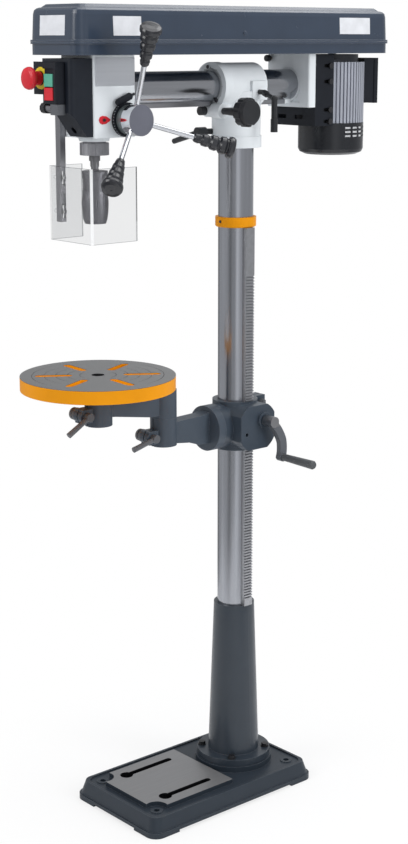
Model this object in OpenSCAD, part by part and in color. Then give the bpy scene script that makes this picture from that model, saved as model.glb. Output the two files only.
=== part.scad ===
// Radial arm drill on a floor base: swivelling ram, tilting head, belt drive and a lifting round table.
// Millimetres, +Z up. Origin: centre of the four anchor holes, on the floor.
// -Y is the spindle side, +Y the motor side, +X the side with the feed handle.

/* [Base] */
// Base width over the foot lip, along X
base_w = 274; // [240:1:320]
// Base length over the foot lip, along Y
base_l = 458; // [420:1:520]
// Height of the base deck
deck_z = 38; // [34:1:60]
// Inward lean of the skirt on each side
skirt_in = 8; // [5:1:20]
// Corner radius of the base
base_cr = 26; // [15:1:40]
// Width of the raised rim round the deck
rim_w = 6; // [4:1:12]
// Skirt wall of the base casting
skirt_t = 9; // [6:1:14]
// Height of the foot lip
lip_h = 12; // [8:1:16]
// Height of the cut-outs between the corner feet
foot_cut = 5; // [3:1:9]
// Length of each corner foot
foot_l = 68; // [50:1:90]
// Anchor hole spacing across
anchor_x = 184; // [160:1:200]
// Anchor hole spacing along
anchor_y = 372; // [340:1:390]
// Anchor hole radius
anchor_r = 6.5; // [5:0.5:8]
// Height of the machined pad above the deck
pad_h = 10; // [6:1:12]
// Half width of the machined pad
pad_hw = 99; // [90:1:105]
// Clamp slot offset from the middle
slot_x = 66; // [50:1:75]
// Clamp slot width
slot_w = 14; // [10:1:16]
// Radius of the round end of the clamp slots
key_r = 14; // [11:1:16]

/* [Column] */
// Column outside diameter
col_d = 73; // [65:1:80]
// Column wall
col_t = 6; // [4:1:10]
// Column axis behind the base centre
col_y = 111; // [105:1:120]
// Height of the column top
col_top = 1462; // [1400:1:1500]
// Radius of the raised ring on the base
ring_r = 84.5; // [80:0.5:90]
// Height of the raised ring above the deck
ring_h = 13; // [10:1:20]
// Support flange radius
flange_r = 80.5; // [74:0.5:84]
// Support flange thickness
flange_t = 15; // [12:1:20]
// Support cone radius at the foot
cone_r1 = 56; // [48:0.5:60]
// Support cone radius at the top
cone_r2 = 44; // [42:0.5:50]
// Height of the support cone top
cone_top = 408; // [360:1:440]
// Bolt circle radius of the support
sup_bc = 70; // [62:1:71]
// Lifting rack width
rack_w = 22; // [18:1:26]
// Lifting rack thickness outside the column
rack_t = 10; // [8:0.5:12]
// Rack tooth pitch
rack_p = 6.283; // [5:0.001:8]
// Underside of the rack ring
rring_z = 1226; // [1200:1:1260]
// Rack ring height
rring_h = 21; // [16:1:26]
// Rack ring outside radius
rring_r = 42.5; // [41:0.5:46]

/* [Table support] */
// Bracket bottom at rest
br_z = 757; // [700:1:800]
// Bracket collar height
br_h = 104; // [95:1:140]
// Bracket collar radius
br_r = 48; // [46:1:52]
// Height of the tilt axis
tilt_z = 808; // [795:1:820]
// Tilt disc radius
tilt_r = 48; // [38:1:50]
// Front face of the bracket's tilt disc
tilt_y = 45; // [40:1:50]
// Lifting gear housing radius
hous_r = 47; // [38:1:49]
// Outer face of the gear housing
hous_x = 73; // [72:1:80]
// Crank shaft radius
crank_r = 7; // [6:0.5:9]
// Crank shaft offset behind the column axis
crank_dy = 15; // [14:1:20]
// Crank shaft height
crank_z = 824.5; // [820:0.5:828]
// Crank throw
crank_l = 82; // [65:0.5:90]
// Lean of the crank arm from straight down
crank_a = 17; // [0:1:40]
// Distance from the column to the arm post
arm1 = 197; // [190:1:220]
// Distance from the arm post to the table centre
arm2 = 166; // [140:1:174]
// Arm post boss radius
post_r = 27.5; // [25:0.5:32]
// Arm post pin radius
pin_r = 17; // [14:0.5:20]
// Split height between the two arms
post_z = 850; // [840:1:860]
// Arm post boss height
post_h = 58.5; // [50:0.5:66]

/* [Table] */
// Table diameter
tab_d = 307; // [280:1:320]
// Table top height
tab_z = 960; // [950:1:970]
// Table edge height
tab_t = 27; // [22:1:32]
// Table plate thickness
tab_p = 14; // [10:1:18]
// Table stem radius
stem_r = 19; // [17:0.5:22]
// Table centre hole radius
tab_hole = 12.5; // [8:0.5:14]
// Width of the table slots
tslot_w = 17; // [10:1:20]
// Start radius of the table slots
tslot_in = 50; // [45:1:60]
// End radius of the table slots
tslot_out = 124; // [110:1:130]
// Turn of the table slots from the X axis
tslot_a = -5; // [-30:1:30]

/* [Ram and turret] */
// Ram diameter
ram_d = 62; // [56:1:66]
// Ram wall
ram_t = 6; // [4:1:9]
// Ram axis height
ram_z = 1511; // [1506:1:1516]
// Front end of the ram
ram_y0 = -226; // [-228:1:-215]
// Rear end of the ram
ram_y1 = 290; // [280:1:294]
// Half width of the bar under the ram
bar_hw = 8; // [6:0.5:10]
// Depth of the bar under the ram
bar_h = 8; // [6:0.5:9]
// Front face of the turret
tur_y0 = 41; // [36:1:46]
// Rear face of the turret
tur_y1 = 155; // [150:1:160]
// Radius of the turret's level sleeve
tur_r = 46; // [44:0.5:48]
// Radius of the turret's upright sleeve
tur_vr = 50; // [48:0.5:52]
// Bottom of the turret
tur_z0 = 1388; // [1380:1:1394]
// Traverse pinion axis, Y
trav_y = 43; // [40:1:48]
// Traverse pinion axis, height
trav_z = 1463; // [1462:0.5:1464]
// Traverse pinion radius
trav_r = 8.7; // [7:0.1:8.7]
// Traverse knob radius
tknob_r = 28.5; // [22:0.5:32]

/* [Head] */
// Spindle axis, Y
sp_y = -252; // [-256:1:-250]
// Half width of the head
head_hw = 50; // [46:1:54]
// Rear face of the head
head_y1 = -190; // [-194:1:-186]
// Joint face between head casting and front cover
head_y0 = -292; // [-296:1:-288]
// Bottom of the head casting
head_z0 = 1422; // [1416:1:1426]
// Top of the head casting
head_z1 = 1574; // [1570:1:1576]
// Front face of the front cover
fc_y0 = -340; // [-350:1:-336]
// Bottom of the front cover
fc_z0 = 1425; // [1424:1:1430]
// Top of the front cover
fc_z1 = 1568; // [1560:1:1572]
// Wall of the front cover
fc_t = 2.5; // [2:0.5:4]
// Quill radius
quill_r = 22; // [20:0.5:24]
// Quill collar radius
collar_r = 28; // [25:0.5:30]
// Bottom of the quill collar
collar_z0 = 1388; // [1384:1:1392]
// Quill stroke
stroke = 80; // [60:1:80]
// Feed pinion radius
feed_pr = 12.7; // [10:0.1:13]
// Feed shaft radius
feed_r = 8; // [6:0.5:9]
// Feed shaft height
feed_z = 1455; // [1450:1:1460]
// Feed hub radius
hub_r = 29; // [26:0.5:32]
// Outer face of the feed hub
hub_x = 101; // [96:1:106]
// Angle of the first feed spoke
spoke_a = 101.5; // [0:0.5:119]
// Lean of the feed spokes
spoke_lean = 29; // [0:0.5:32]
// Where the feed grips start, from the hub axis
grip_s = 118; // [90:1:124]
// Length of the feed grips
grip_l = 83; // [70:1:95]

/* [Chuck] */
// Chuck top
chuck_z1 = 1358; // [1354:1:1362]
// Chuck bottom
chuck_z0 = 1258; // [1250:1:1262]
// Chuck bore radius
chuck_bore = 8; // [6:0.5:8]
// Jaw radius
jaw_r = 3; // [2.5:0.1:3]
// Jaw lean
jaw_a = 16; // [12:1:18]

/* [Belt drive] */
// Motor axis, Y
mot_y = 385; // [375:1:395]
// Motor body radius
mot_r = 69.5; // [60:0.5:70]
// Bottom of the fan cover
mot_z0 = 1363; // [1350:1:1380]
// Joint between fan cover and motor body
mot_z1 = 1430; // [1425:1:1440]
// Top of the finned motor body
mot_z2 = 1556; // [1550:1:1560]
// Number of cooling fins
fins = 54; // [24:1:60]
// Depth of the cooling fins
fin_h = 5; // [3:0.5:8]
// Pulley step height
step_h = 12; // [10:0.5:12]
// Largest pulley step radius
step_r = 60; // [50:1:60]
// Radius lost at each pulley step
step_d = 8; // [6:1:8]
// Underside of the pulleys
pul_z = 1588; // [1584:1:1590]
// Belt thickness
belt_t = 6.5; // [5:0.5:8]
// Belt width
belt_w = 6.5; // [5:0.5:8]

/* [Belt cover] */
// Half width of the belt cover
cov_hw = 80; // [76:1:84]
// Front of the belt cover
cov_y0 = -346; // [-350:1:-340]
// Rear of the belt cover
cov_y1 = 481; // [465:1:486]
// Corner radius of the belt cover
cov_cr = 25; // [15:1:40]
// Top of the tray
rim_z = 1598; // [1594:1:1606]
// Height of the lid's edge above the tray
lid_h = 62; // [60:1:75]
// Height of the raised panel on the lid
lid_up = 6; // [4:1:14]
// Inset of the raised panel at its foot
pan_in = 14; // [10:1:24]
// Wall of tray and lid
cov_t = 2.5; // [2:0.5:4]
// Rim lip
cov_lip = 3.5; // [2:0.5:5]

/* [Hidden] */
$fn = 48;
fit = 0.05;
seat = 0.1;
air = 0.4;
col_r = col_d / 2;
ram_r = ram_d / 2;
ring_z = deck_z + ring_h;
flange_z = ring_z + flange_t;
rack_x = col_r + rack_t;
gear_r = 10.2;
gear_x = rack_x + 0.3 + gear_r;
wheel_r = 13.2;
worm_r = 6;
gear_z = crank_z - worm_r - 0.3 - wheel_r;
crank_y = col_y + crank_dy;
a1_y = col_y - arm1;
a2_y = a1_y - arm2;
ear_y = 38;
arm_cz = post_z - 37;
tab_cz = post_z + 33;
bar_z = ram_z - ram_r - bar_h;
feed_y = sp_y + quill_r + 0.3 + feed_pr;
sock_r = 35;
mb_y0 = ram_y1 - 34;
mb_y1 = mb_y0 + 21;
mb_z0 = ram_z - 46;
mp_z0 = mot_z1 - 4;
mp_z1 = head_z1 - 2;
mp_y1 = mot_y - 54;
mp_by = [mot_y - 79, mot_y - 65];
belt_in = step_r - 2 * step_d - belt_t - 0.5;
belt_z = pul_z + 2.5 * step_h;
lid_z = rim_z + lid_h;
plate_z = [mp_z0 + 9, mp_z0 + 33, mp_z1 - 55, mp_z1 - 23];

// Round bars and boxes placed by their ends
module cx(x0, x1, y, z, r) translate([x0, y, z]) rotate([0, 90, 0]) cylinder(h = x1 - x0, r = r);
module cy(y0, y1, x, z, r) translate([x, y0, z]) rotate([-90, 0, 0]) cylinder(h = y1 - y0, r = r);
module cz(z0, z1, x, y, r) translate([x, y, z0]) cylinder(h = z1 - z0, r = r);
module bx(x0, x1, y0, y1, z0, z1) translate([x0, y0, z0]) cube([x1 - x0, y1 - y0, z1 - z0]);
// Flat rounded rectangle between two corners
module rr(x0, x1, y0, y1, r) {
  translate([x0 + r, y0]) square([x1 - x0 - 2 * r, y1 - y0]);
  translate([x0, y0 + r]) square([x1 - x0, y1 - y0 - 2 * r]);
  for (x = [x0 + r, x1 - r]) for (y = [y0 + r, y1 - r]) translate([x, y]) circle(r = r);
}
module rbx(x0, x1, y0, y1, z0, z1, r) translate([0, 0, z0]) linear_extrude(z1 - z0) rr(x0, x1, y0, y1, r);
// Outline in the YZ plane, drawn out along X
module yz(x0, x1, p) translate([x0, 0, 0]) rotate([90, 0, 90]) linear_extrude(x1 - x0) polygon(p);
// Lobed disc for hand knobs
module lobes(r, n, d, h) {
  difference() {
    cylinder(h = h, r = r);
    for (i = [0 : n - 1]) rotate([0, 0, (i + 0.5) * 360 / n]) translate([r + d * 0.55, 0, -1]) cylinder(h = h + 2, r = d);
  }
}

// Base casting with anchor bosses, machined pad, clamp slots and column ring
module base_taper(o, z0, z1) {
  f0 = skirt_in * (z0 - lip_h) / (deck_z + 3 - lip_h);
  f1 = skirt_in * (z1 - lip_h) / (deck_z + 3 - lip_h);
  hull() {
    rbx(-base_w / 2 + 4 + o + f0, base_w / 2 - 4 - o - f0, -base_l / 2 + 4 + o + f0, base_l / 2 - 4 - o - f0, z0, z0 + 0.01, base_cr - 4);
    rbx(-base_w / 2 + 4 + o + f1, base_w / 2 - 4 - o - f1, -base_l / 2 + 4 + o + f1, base_l / 2 - 4 - o - f1, z1 - 0.01, z1, base_cr - 6);
  }
}
module base() color([0.2, 0.22, 0.26]) difference() {
  union() {
    difference() {
      union() {
        rbx(-base_w / 2, base_w / 2, -base_l / 2, base_l / 2, 0, lip_h, base_cr);
        base_taper(0, lip_h, deck_z + 3);
      }
      base_taper(rim_w, deck_z, deck_z + 9);
      rbx(-base_w / 2 + skirt_t, base_w / 2 - skirt_t, -base_l / 2 + skirt_t, base_l / 2 - skirt_t, -1, lip_h, base_cr - skirt_t);
      base_taper(skirt_t, lip_h - 0.01, deck_z - 10);
    }
    for (sx = [-1, 1]) for (sy = [-1, 1]) cz(0, deck_z, sx * anchor_x / 2, sy * anchor_y / 2, 17);
    difference() {
      bx(-pad_hw, pad_hw, -195, 20, deck_z - 1, deck_z + pad_h);
      for (sx = [-1, 1]) cz(deck_z, deck_z + pad_h + 1, sx * anchor_x / 2, -anchor_y / 2, 24);
    }
    for (sx = [-1, 1]) for (sy = [-1, 1]) cz(deck_z, deck_z + 2, sx * anchor_x / 2, sy * anchor_y / 2, 13);
    cz(deck_z - 10, ring_z, 0, col_y, ring_r);
    for (sx = [-1, 1]) bx(sx * 40 - 4, sx * 40 + 4, -base_l / 2 + skirt_t + 6, base_l / 2 - skirt_t - 6, 12, deck_z - 9);
  }
  for (sx = [-1, 1]) for (sy = [-1, 1]) cz(-1, deck_z + 3, sx * anchor_x / 2, sy * anchor_y / 2, anchor_r);
  for (s = [-1, 1]) {
    cz(deck_z - 11, deck_z + pad_h + 1, s * slot_x, -141, key_r);
    cz(deck_z - 11, deck_z + pad_h + 1, s * slot_x, -23, slot_w / 2);
    bx(s * slot_x - slot_w / 2, s * slot_x + slot_w / 2, -141, -23, deck_z - 11, deck_z + pad_h + 1);
    bx(s * base_w / 2 - 12, s * base_w / 2 + 12, -base_l / 2 + foot_l, base_l / 2 - foot_l, -1, foot_cut);
    bx(-base_w / 2 + foot_l, base_w / 2 - foot_l, s * base_l / 2 - 12, s * base_l / 2 + 12, -1, foot_cut);
  }
  cz(deck_z - 11, ring_z + 1, 0, col_y, col_r - col_t);
  for (a = [45 : 90 : 315]) translate([0, col_y, 0]) rotate([0, 0, a]) cz(deck_z - 11, ring_z + 1, sup_bc, 0, 5);
}

// Bolted support cone that holds the column
module column_support() color([0.2, 0.22, 0.26]) difference() {
  union() {
    cz(ring_z, flange_z, 0, col_y, flange_r);
    translate([0, col_y, flange_z]) cylinder(h = cone_top - flange_z, r1 = cone_r1, r2 = cone_r2);
  }
  cz(ring_z - 1, cone_top + 1, 0, col_y, col_r);
  for (a = [45 : 90 : 315]) translate([0, col_y, 0]) rotate([0, 0, a]) cz(ring_z - 1, flange_z + 1, sup_bc, 0, 5.5);
}
module support_bolts() color([0.1, 0.1, 0.11]) for (a = [45 : 90 : 315]) translate([0, col_y, 0]) rotate([0, 0, a]) {
  cz(deck_z - 4, flange_z + 1, sup_bc, 0, 5);
  cz(flange_z, flange_z + 1.5, sup_bc, 0, 9);
  translate([sup_bc, 0, flange_z + 1.5]) cylinder(h = 6, r = 7.5, $fn = 6);
}
module column_tube() color([0.62, 0.62, 0.65]) difference() {
  cz(ring_z, col_top, 0, col_y, col_r);
  cz(ring_z - 1, col_top + 1, 0, col_y, col_r - col_t);
}
// Collar that keeps the rack's top end, with its set screw hole
module rack_ring() color([0.85, 0.5, 0.08]) difference() {
  union() {
    cz(rring_z + 2, rring_z + rring_h, 0, col_y, rring_r);
    translate([0, col_y, rring_z]) cylinder(h = 2, r1 = rring_r - 2, r2 = rring_r);
  }
  cz(rring_z - 1, rring_z + rring_h + 1, 0, col_y, col_r);
  cy(col_y - rring_r - 1, col_y - col_r + 1, 0, rring_z + 12, 3);
}

// Toothed bar beside the column
rack_z0 = cone_top + seat;
rack_z1 = rring_z - seat;
teeth_z0 = cone_top + 16;
teeth_n = floor((1130 - teeth_z0) / rack_p);
module column_rack() color([0.55, 0.55, 0.56]) difference() {
  translate([0, col_y + rack_w / 2, 0]) rotate([90, 0, 0]) linear_extrude(rack_w) polygon(concat(
    [[col_r - 6, rack_z0], [rack_x, rack_z0]],
    [for (i = [0 : teeth_n - 1]) for (k = [0 : 3])
      [rack_x - ((k == 1 || k == 2) ? 3.2 : 0), teeth_z0 + i * rack_p + rack_p * [0.22, 0.36, 0.64, 0.78][k]]],
    [[rack_x, rack_z1], [col_r - 6, rack_z1]]));
  cz(rack_z0 - 1, rack_z1 + 1, 0, col_y, col_r + seat);
}

// Sliding bracket: split collar, tilt disc and lifting gear housing
module table_bracket() color([0.2, 0.22, 0.26]) difference() {
  union() {
    cz(br_z, br_z + br_h, 0, col_y, br_r);
    cy(tilt_y, col_y, 0, tilt_z, tilt_r);
    intersection() {
      cx(20, hous_x, col_y, tilt_z + 2, hous_r + 7);
      bx(19, hous_x + 1, col_y - hous_r, col_y + hous_r, tilt_z + 2 - hous_r, tilt_z + 2 + hous_r);
    }
    cx(hous_x, hous_x + 6, crank_y, crank_z, 17);
    bx(-15, 15, col_y + 30, col_y + 73, br_z + br_h - 30, br_z + br_h);
  }
  cz(br_z - 1, br_z + br_h + 1, 0, col_y, col_r + fit);
  bx(0, rack_x + seat, col_y - rack_w / 2 - seat, col_y + rack_w / 2 + seat, br_z - 1, br_z + br_h + 1);
  bx(-1.5, 1.5, col_y + 20, col_y + 75, br_z - 1, br_z + br_h + 1);
  cy(tilt_y - 1, tilt_y + 25, 0, tilt_z, 12 + fit);
  cy(col_y - 12, col_y + 12, gear_x, gear_z, gear_r + air);
  cy(col_y + 11.9, col_y + 24, gear_x, gear_z, wheel_r + air);
  cy(col_y - 20, col_y + 32, gear_x, gear_z, 5 + fit);
  cx(rack_x + 1, hous_x + 7, crank_y, crank_z, worm_r + fit);
  cx(hous_x - 10, hous_x + 1, col_y - 31, tilt_z - 10, 4);
  cx(-20, 20, col_y + 61, br_z + br_h - 15, 5 + fit);
}
// Worm wheel and rack pinion on one short shaft
module lift_gear() color([0.6, 0.58, 0.5]) {
  cy(col_y - 19, col_y + 31, gear_x, gear_z, 5);
  cy(col_y - 11, col_y + 11, gear_x, gear_z, gear_r);
  cy(col_y + 12.2, col_y + 23.7, gear_x, gear_z, wheel_r);
}
module crank_shaft() color([0.6, 0.6, 0.62]) {
  cx(rack_x + 1.5, hous_x + 8, crank_y, crank_z, worm_r);
  cx(hous_x + 6 + seat, hous_x + 21, crank_y, crank_z, crank_r);
}
// Crank arm: hub, curved web and end eye
crank_ax = hous_x + 8;
crank_bow = 11;
bow_r = crank_l * crank_l / (8 * crank_bow) + crank_bow / 2;
module crank_arm() color([0.27, 0.28, 0.3]) translate([crank_ax, crank_y, crank_z]) rotate([crank_a, 0, 0]) difference() {
  union() {
    cx(0, 28, 0, 0, 11.5);
    intersection() {
      bx(8, 28, -30, 30, -crank_l, 0);
      difference() {
        cx(7, 29, crank_bow - bow_r, -crank_l / 2, bow_r + 9);
        cx(6, 30, crank_bow - bow_r, -crank_l / 2, bow_r - 9);
      }
      rotate([90, 0, 0]) linear_extrude(62, center = true) polygon([[8, 1], [8, -16], [16, -50], [16, -crank_l - 1],
        [28, -crank_l - 1], [28, -46], [22, -10], [22, 1]]);
    }
    cx(16, 30, 0, -crank_l, 9.5);
  }
  cx(-1, 14, 0, 0, crank_r);
  cx(14, 31, 0, -crank_l, 5 + fit);
}
module crank_grip() color([0.12, 0.12, 0.13]) translate([crank_ax, crank_y, crank_z]) rotate([crank_a, 0, 0]) translate([30.3, 0, -crank_l]) rotate([0, 90, 0]) {
  translate([0, 0, -14]) cylinder(h = 15, r = 5);
  cylinder(h = 87, r1 = 7.5, r2 = 9.2);
  translate([0, 0, 87]) cylinder(h = 3, r1 = 9.2, r2 = 7.2);
}
// Clamp bolt with lever across the split collar
module bracket_clamp() color([0.15, 0.15, 0.16]) {
  cx(-34, 26, col_y + 61, br_z + br_h - 15, 5);
  translate([15 + seat, col_y + 61, br_z + br_h - 15]) rotate([0, 90, 0]) cylinder(h = 8, r = 8.6, $fn = 6);
  cx(-34, -15 - seat, col_y + 61, br_z + br_h - 15, 9);
  translate([-26, col_y + 61, br_z + br_h - 15]) rotate([-170, 0, 0]) cylinder(h = 60, r1 = 5, r2 = 6.5);
}

// Arm that tilts on the bracket and carries the post
module clamp_ears(y, z) {
  bx(-13, 13, y - ear_y - 10, y - 20, z - 14, z + 14);
  cx(-13, 13, y - ear_y - 1, z, 13.9);
}
module clamp_cut(y, z, z0, z1) {
  bx(-1.5, 1.5, y - ear_y - 16, y - 10, z0, z1);
  cx(-20, 20, y - ear_y, z, 5 + fit);
}
module tilt_arm() color([0.2, 0.22, 0.26]) difference() {
  union() {
    cy(tilt_y - 19, tilt_y - seat, 0, tilt_z, tilt_r);
    cy(tilt_y - 1, tilt_y + 23, 0, tilt_z, 12);
    yz(-16, 16, [[a1_y, tilt_z - 12], [a1_y + 56, tilt_z - 19], [tilt_y - 48, tilt_z - 28], [tilt_y - 10, tilt_z - 30],
      [tilt_y - 10, tilt_z + 38], [tilt_y - 36, tilt_z + 33], [a1_y, tilt_z + 30]]);
    cz(post_z - post_h, post_z, 0, a1_y, post_r);
    clamp_ears(a1_y, arm_cz);
  }
  cz(post_z - post_h + 8, post_z + 1, 0, a1_y, pin_r + fit);
  clamp_cut(a1_y, arm_cz, post_z - post_h - 1, post_z + 1);
  cy(tilt_y - 20, tilt_y - 8, -22, tilt_z - 32, 3.5);
}
// Clamp bolt with washers, hub and round handle
module clamp_bolt(y, z, drop) {
  cx(-34, 24, y - ear_y, z, 5);
  cx(-30, -24, y - ear_y, z, 12.5);
  cx(-21, -13 - seat, y - ear_y, z, 13.3);
  cx(13 + seat, 26, y - ear_y, z, 8.5);
  translate([20, y - ear_y, z]) rotate([90 + drop, 0, 0]) cylinder(h = 58, r1 = 5, r2 = 5.8);
}
module arm_clamp() color([0.33, 0.33, 0.35]) clamp_bolt(a1_y, arm_cz, 14);
module swing_arm() color([0.2, 0.22, 0.26]) difference() {
  union() {
    cz(post_z - post_h + 8 + seat, post_z + 1, 0, a1_y, pin_r);
    cz(post_z + seat, post_z + post_h, 0, a1_y, post_r);
    yz(-15, 15, [[a1_y, post_z + 7], [a1_y - 45, post_z + 8], [a2_y + 30, post_z + 23], [a2_y, post_z + 26],
      [a2_y, post_z + 56], [a1_y, post_z + 56]]);
    cz(post_z + 9, tab_z - tab_t - 8, 0, a2_y, post_r);
    clamp_ears(a2_y, tab_cz);
  }
  cz(post_z + 8, tab_z - tab_t, 0, a2_y, stem_r + fit);
  clamp_cut(a2_y, tab_cz, post_z + 8, tab_z - tab_t);
}
module table_clamp() color([0.33, 0.33, 0.35]) clamp_bolt(a2_y, tab_cz, 30);

// Round slotted table with rim, ribs and stem
module table() color([0.85, 0.5, 0.08]) translate([0, a2_y, 0]) difference() {
  union() {
    cz(tab_z - tab_p, tab_z, 0, 0, tab_d / 2);
    difference() {
      cz(tab_z - tab_t, tab_z - 1, 0, 0, tab_d / 2);
      cz(tab_z - tab_t - 1, tab_z, 0, 0, tab_d / 2 - 9);
    }
    cz(tab_z - tab_t - 8 + seat, tab_z - 1, 0, 0, 34);
    cz(post_z + 12, tab_z - 1, 0, 0, stem_r);
    for (a = [25 : 60 : 325]) rotate([0, 0, a]) bx(30, tab_d / 2 - 5, -3.5, 3.5, tab_z - tab_t + 3, tab_z - 1);
  }
  cz(post_z, tab_z + 1, 0, 0, tab_hole);
  for (a = [0 : 60 : 300]) rotate([0, 0, a + tslot_a]) {
    bx(tslot_in + tslot_w / 2, tslot_out - tslot_w / 2, -tslot_w / 2, tslot_w / 2, tab_z - tab_p - 1, tab_z + 1);
    for (r = [tslot_in + tslot_w / 2, tslot_out - tslot_w / 2]) cz(tab_z - tab_p - 1, tab_z + 1, r, 0, tslot_w / 2);
  }
  for (a = [0, 180]) rotate([0, 0, 60 + tslot_a + a]) translate([0, 0, tab_z - 0.8]) linear_extrude(2) for (r = [36, 60, 83, 106, 130])
    intersection() {
      difference() { circle(r = r + 0.6); circle(r = r - 0.6); }
      polygon([[0, 0], [170, -170], [170, 170]]);
    }
}

// Turret: upright sleeve on the column, level sleeve for the ram
module turret() color([0.85, 0.87, 0.88]) difference() {
  union() {
    cz(tur_z0, ram_z - 10, 0, col_y, tur_vr);
    cz(tur_z0, tur_z0 + 23, 0, col_y, tur_vr + 2);
    cy(tur_y0, tur_y1, 0, ram_z, tur_r);
    cy(tur_y0, tur_y0 + 20, 0, ram_z, tur_r + 1.5);
    bx(-16, 30, tur_y0 + 3, tur_y1 - 4, ram_z - 50, ram_z - 20);
    cx(-13.5, 38, trav_y, trav_z, 13);
    cx(10, 38, trav_y, trav_z, 15);
    cy(28.5, tur_y0, -2, trav_z, 8);
    bx(30, 51, 109, 150, ram_z - 28, ram_z + 10);
  }
  cz(tur_z0 - 1, col_top + seat, 0, col_y, col_r + fit);
  cy(tur_y0 - 30, col_y + tur_vr + 2, 0, ram_z, ram_r + fit);
  bx(-bar_hw - seat, bar_hw + seat, tur_y0 - 30, col_y + tur_vr + 2, bar_z - seat, ram_z - 20);
  cx(-15, 39, trav_y, trav_z, 6 + fit);
  cx(-11, 11, trav_y, trav_z, trav_r + air);
  cx(20, 52, 128, ram_z - 12, 5 + fit);
  cy(20, col_y, -25, tur_z0 + 32, 6 + fit);
  cy(20, 33.6, -2, trav_z, 4 + fit);
  cy(tur_y0 - 1, tur_y0 + 9, -8, ram_z + 38, 3.5);
}
module turret_clamp() color([0.12, 0.12, 0.13]) {
  cy(34, 78, -25, tur_z0 + 32, 6);
  cy(26, 48, -25, tur_z0 + 32, 9.5);
  translate([-25, 37, tur_z0 + 32]) rotate([0, -105, 0]) cylinder(h = 88, r1 = 6.5, r2 = 5.5);
}
module ram_clamp() color([0.12, 0.12, 0.13]) {
  cx(31.5, 66, 128, ram_z - 12, 5);
  translate([62, 128, ram_z - 12]) rotate([0, 111, 0]) cylinder(h = 35, r = 4.5);
  translate([66, 128, ram_z - 13.5]) rotate([0, 111, 0]) cylinder(h = 8, r = 6.5);
  translate([95, 128, ram_z - 24.5]) sphere(r = 7);
  translate([95, 128, ram_z - 90]) cylinder(h = 65, r = 6);
  translate([95, 128, ram_z - 90]) cylinder(h = 26, r = 7.2);
}
module stop_knob() color([0.12, 0.12, 0.13]) {
  cy(20, 33.5, -2, trav_z, 4);
  translate([-2, 14, trav_z]) rotate([-90, 0, 0]) lobes(8.8, 12, 1.2, 14);
}
module traverse_shaft() color([0.55, 0.55, 0.56]) {
  cx(-12.5, 60, trav_y, trav_z, 6);
  cx(-10, 10, trav_y, trav_z, trav_r);
}
module traverse_knob() color([0.12, 0.12, 0.13]) difference() {
  union() {
    translate([39, trav_y, trav_z]) rotate([0, 90, 0]) cylinder(h = 52, r1 = 6.8, r2 = 9.5);
    translate([90, trav_y, trav_z]) rotate([0, 90, 0]) cylinder(h = 8, r1 = 14, r2 = tknob_r - 3);
    translate([97, trav_y, trav_z]) rotate([0, 90, 0]) lobes(tknob_r, 9, 5, 16);
    translate([113, trav_y, trav_z]) rotate([0, 90, 0]) cylinder(h = 8, r1 = tknob_r - 3, r2 = tknob_r - 5);
  }
  cx(38, 60, trav_y, trav_z, 6);
}

// Toothed bar under the ram, with an eye round the ram at each end
module ram_rack() color([0.55, 0.55, 0.57]) {
  for (y = [head_y1 - 6, mb_y0]) difference() {
    cy(y, y + 6, 0, ram_z, sock_r);
    cy(y - 1, y + 7, 0, ram_z, ram_r + fit);
  }
  difference() {
    bx(-bar_hw, bar_hw, head_y1 + seat, mb_y0 - seat, bar_z, ram_z - ram_r + 3);
    cy(head_y1 - 1, mb_y0 + 1, 0, ram_z, ram_r + fit);
    for (y = [-150 : 6 : 220]) bx(-bar_hw - 1, bar_hw + 1, y, y + 3, bar_z - 1, bar_z + 1.5);
  }
  for (y = [head_y1 - 1, mb_y0 - 2]) difference() {
    bx(-bar_hw, bar_hw, y, y + 3, ram_z - sock_r + 0.5, ram_z - ram_r + 3);
    cy(y - 1, y + 4, 0, ram_z, ram_r + fit);
  }
}
module ram_tube() color([0.6, 0.6, 0.63]) difference() {
  cy(ram_y0, ram_y1, 0, ram_z, ram_r);
  cy(ram_y0 - 1, ram_y1 + 1, 0, ram_z, ram_r - ram_t);
}

// Head casting with quill bore, ram socket and feed shaft bore
module head_casting() color([0.85, 0.87, 0.88]) difference() {
  union() {
    rbx(-head_hw, head_hw, head_y0, head_y1, head_z0, head_z1, 5);
    translate([0, sp_y, head_z0 - 8]) cylinder(h = 8.01, r1 = collar_r + 0.5, r2 = collar_r + 3);
    cx(-head_hw, head_hw, feed_y, feed_z, 30);
  }
  cz(head_z0 - 14, head_z1 - 25, 0, sp_y, quill_r + fit);
  cz(head_z1 - 26, head_z1 + 1, 0, sp_y, 14 + fit);
  cy(ram_y0, head_y1 + 1, 0, ram_z, ram_r);
  cy(head_y1 - 6 - seat, head_y1 + 1, 0, ram_z, sock_r + 0.3);
  bx(-sock_r, sock_r, head_y1 - 2, head_y1 + 1, ram_z - 0.5 - sock_r, ram_z);
  cx(-head_hw - 1, head_hw + 1, feed_y, feed_z, feed_r + fit);
  cx(-11, 11, feed_y, feed_z, feed_pr + air);
  for (s = [-1, 1]) bx(s * 34 - 9, s * 34 + 9, head_y0 - 1, head_y0 + 60, head_z0 + 64, head_z1 - 10);
}
// Front cover: black shell with a sloped chin
module fc_body(o) intersection() {
  rbx(-head_hw + o, head_hw - o, fc_y0 + o, head_y0 + 40, fc_z0 + o, fc_z1 - o, 14 - o);
  yz(-60, 60, [[fc_y0 + o, fc_z1], [fc_y0 + o, fc_z0 + 45 + o * 0.3], [fc_y0 + 34 + o, fc_z0 + o * 0.3 - 0.01],
    [head_y0 - (o > 0 ? -1 : seat), fc_z0 - 1], [head_y0 - (o > 0 ? -1 : seat), fc_z1]]);
}
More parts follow.
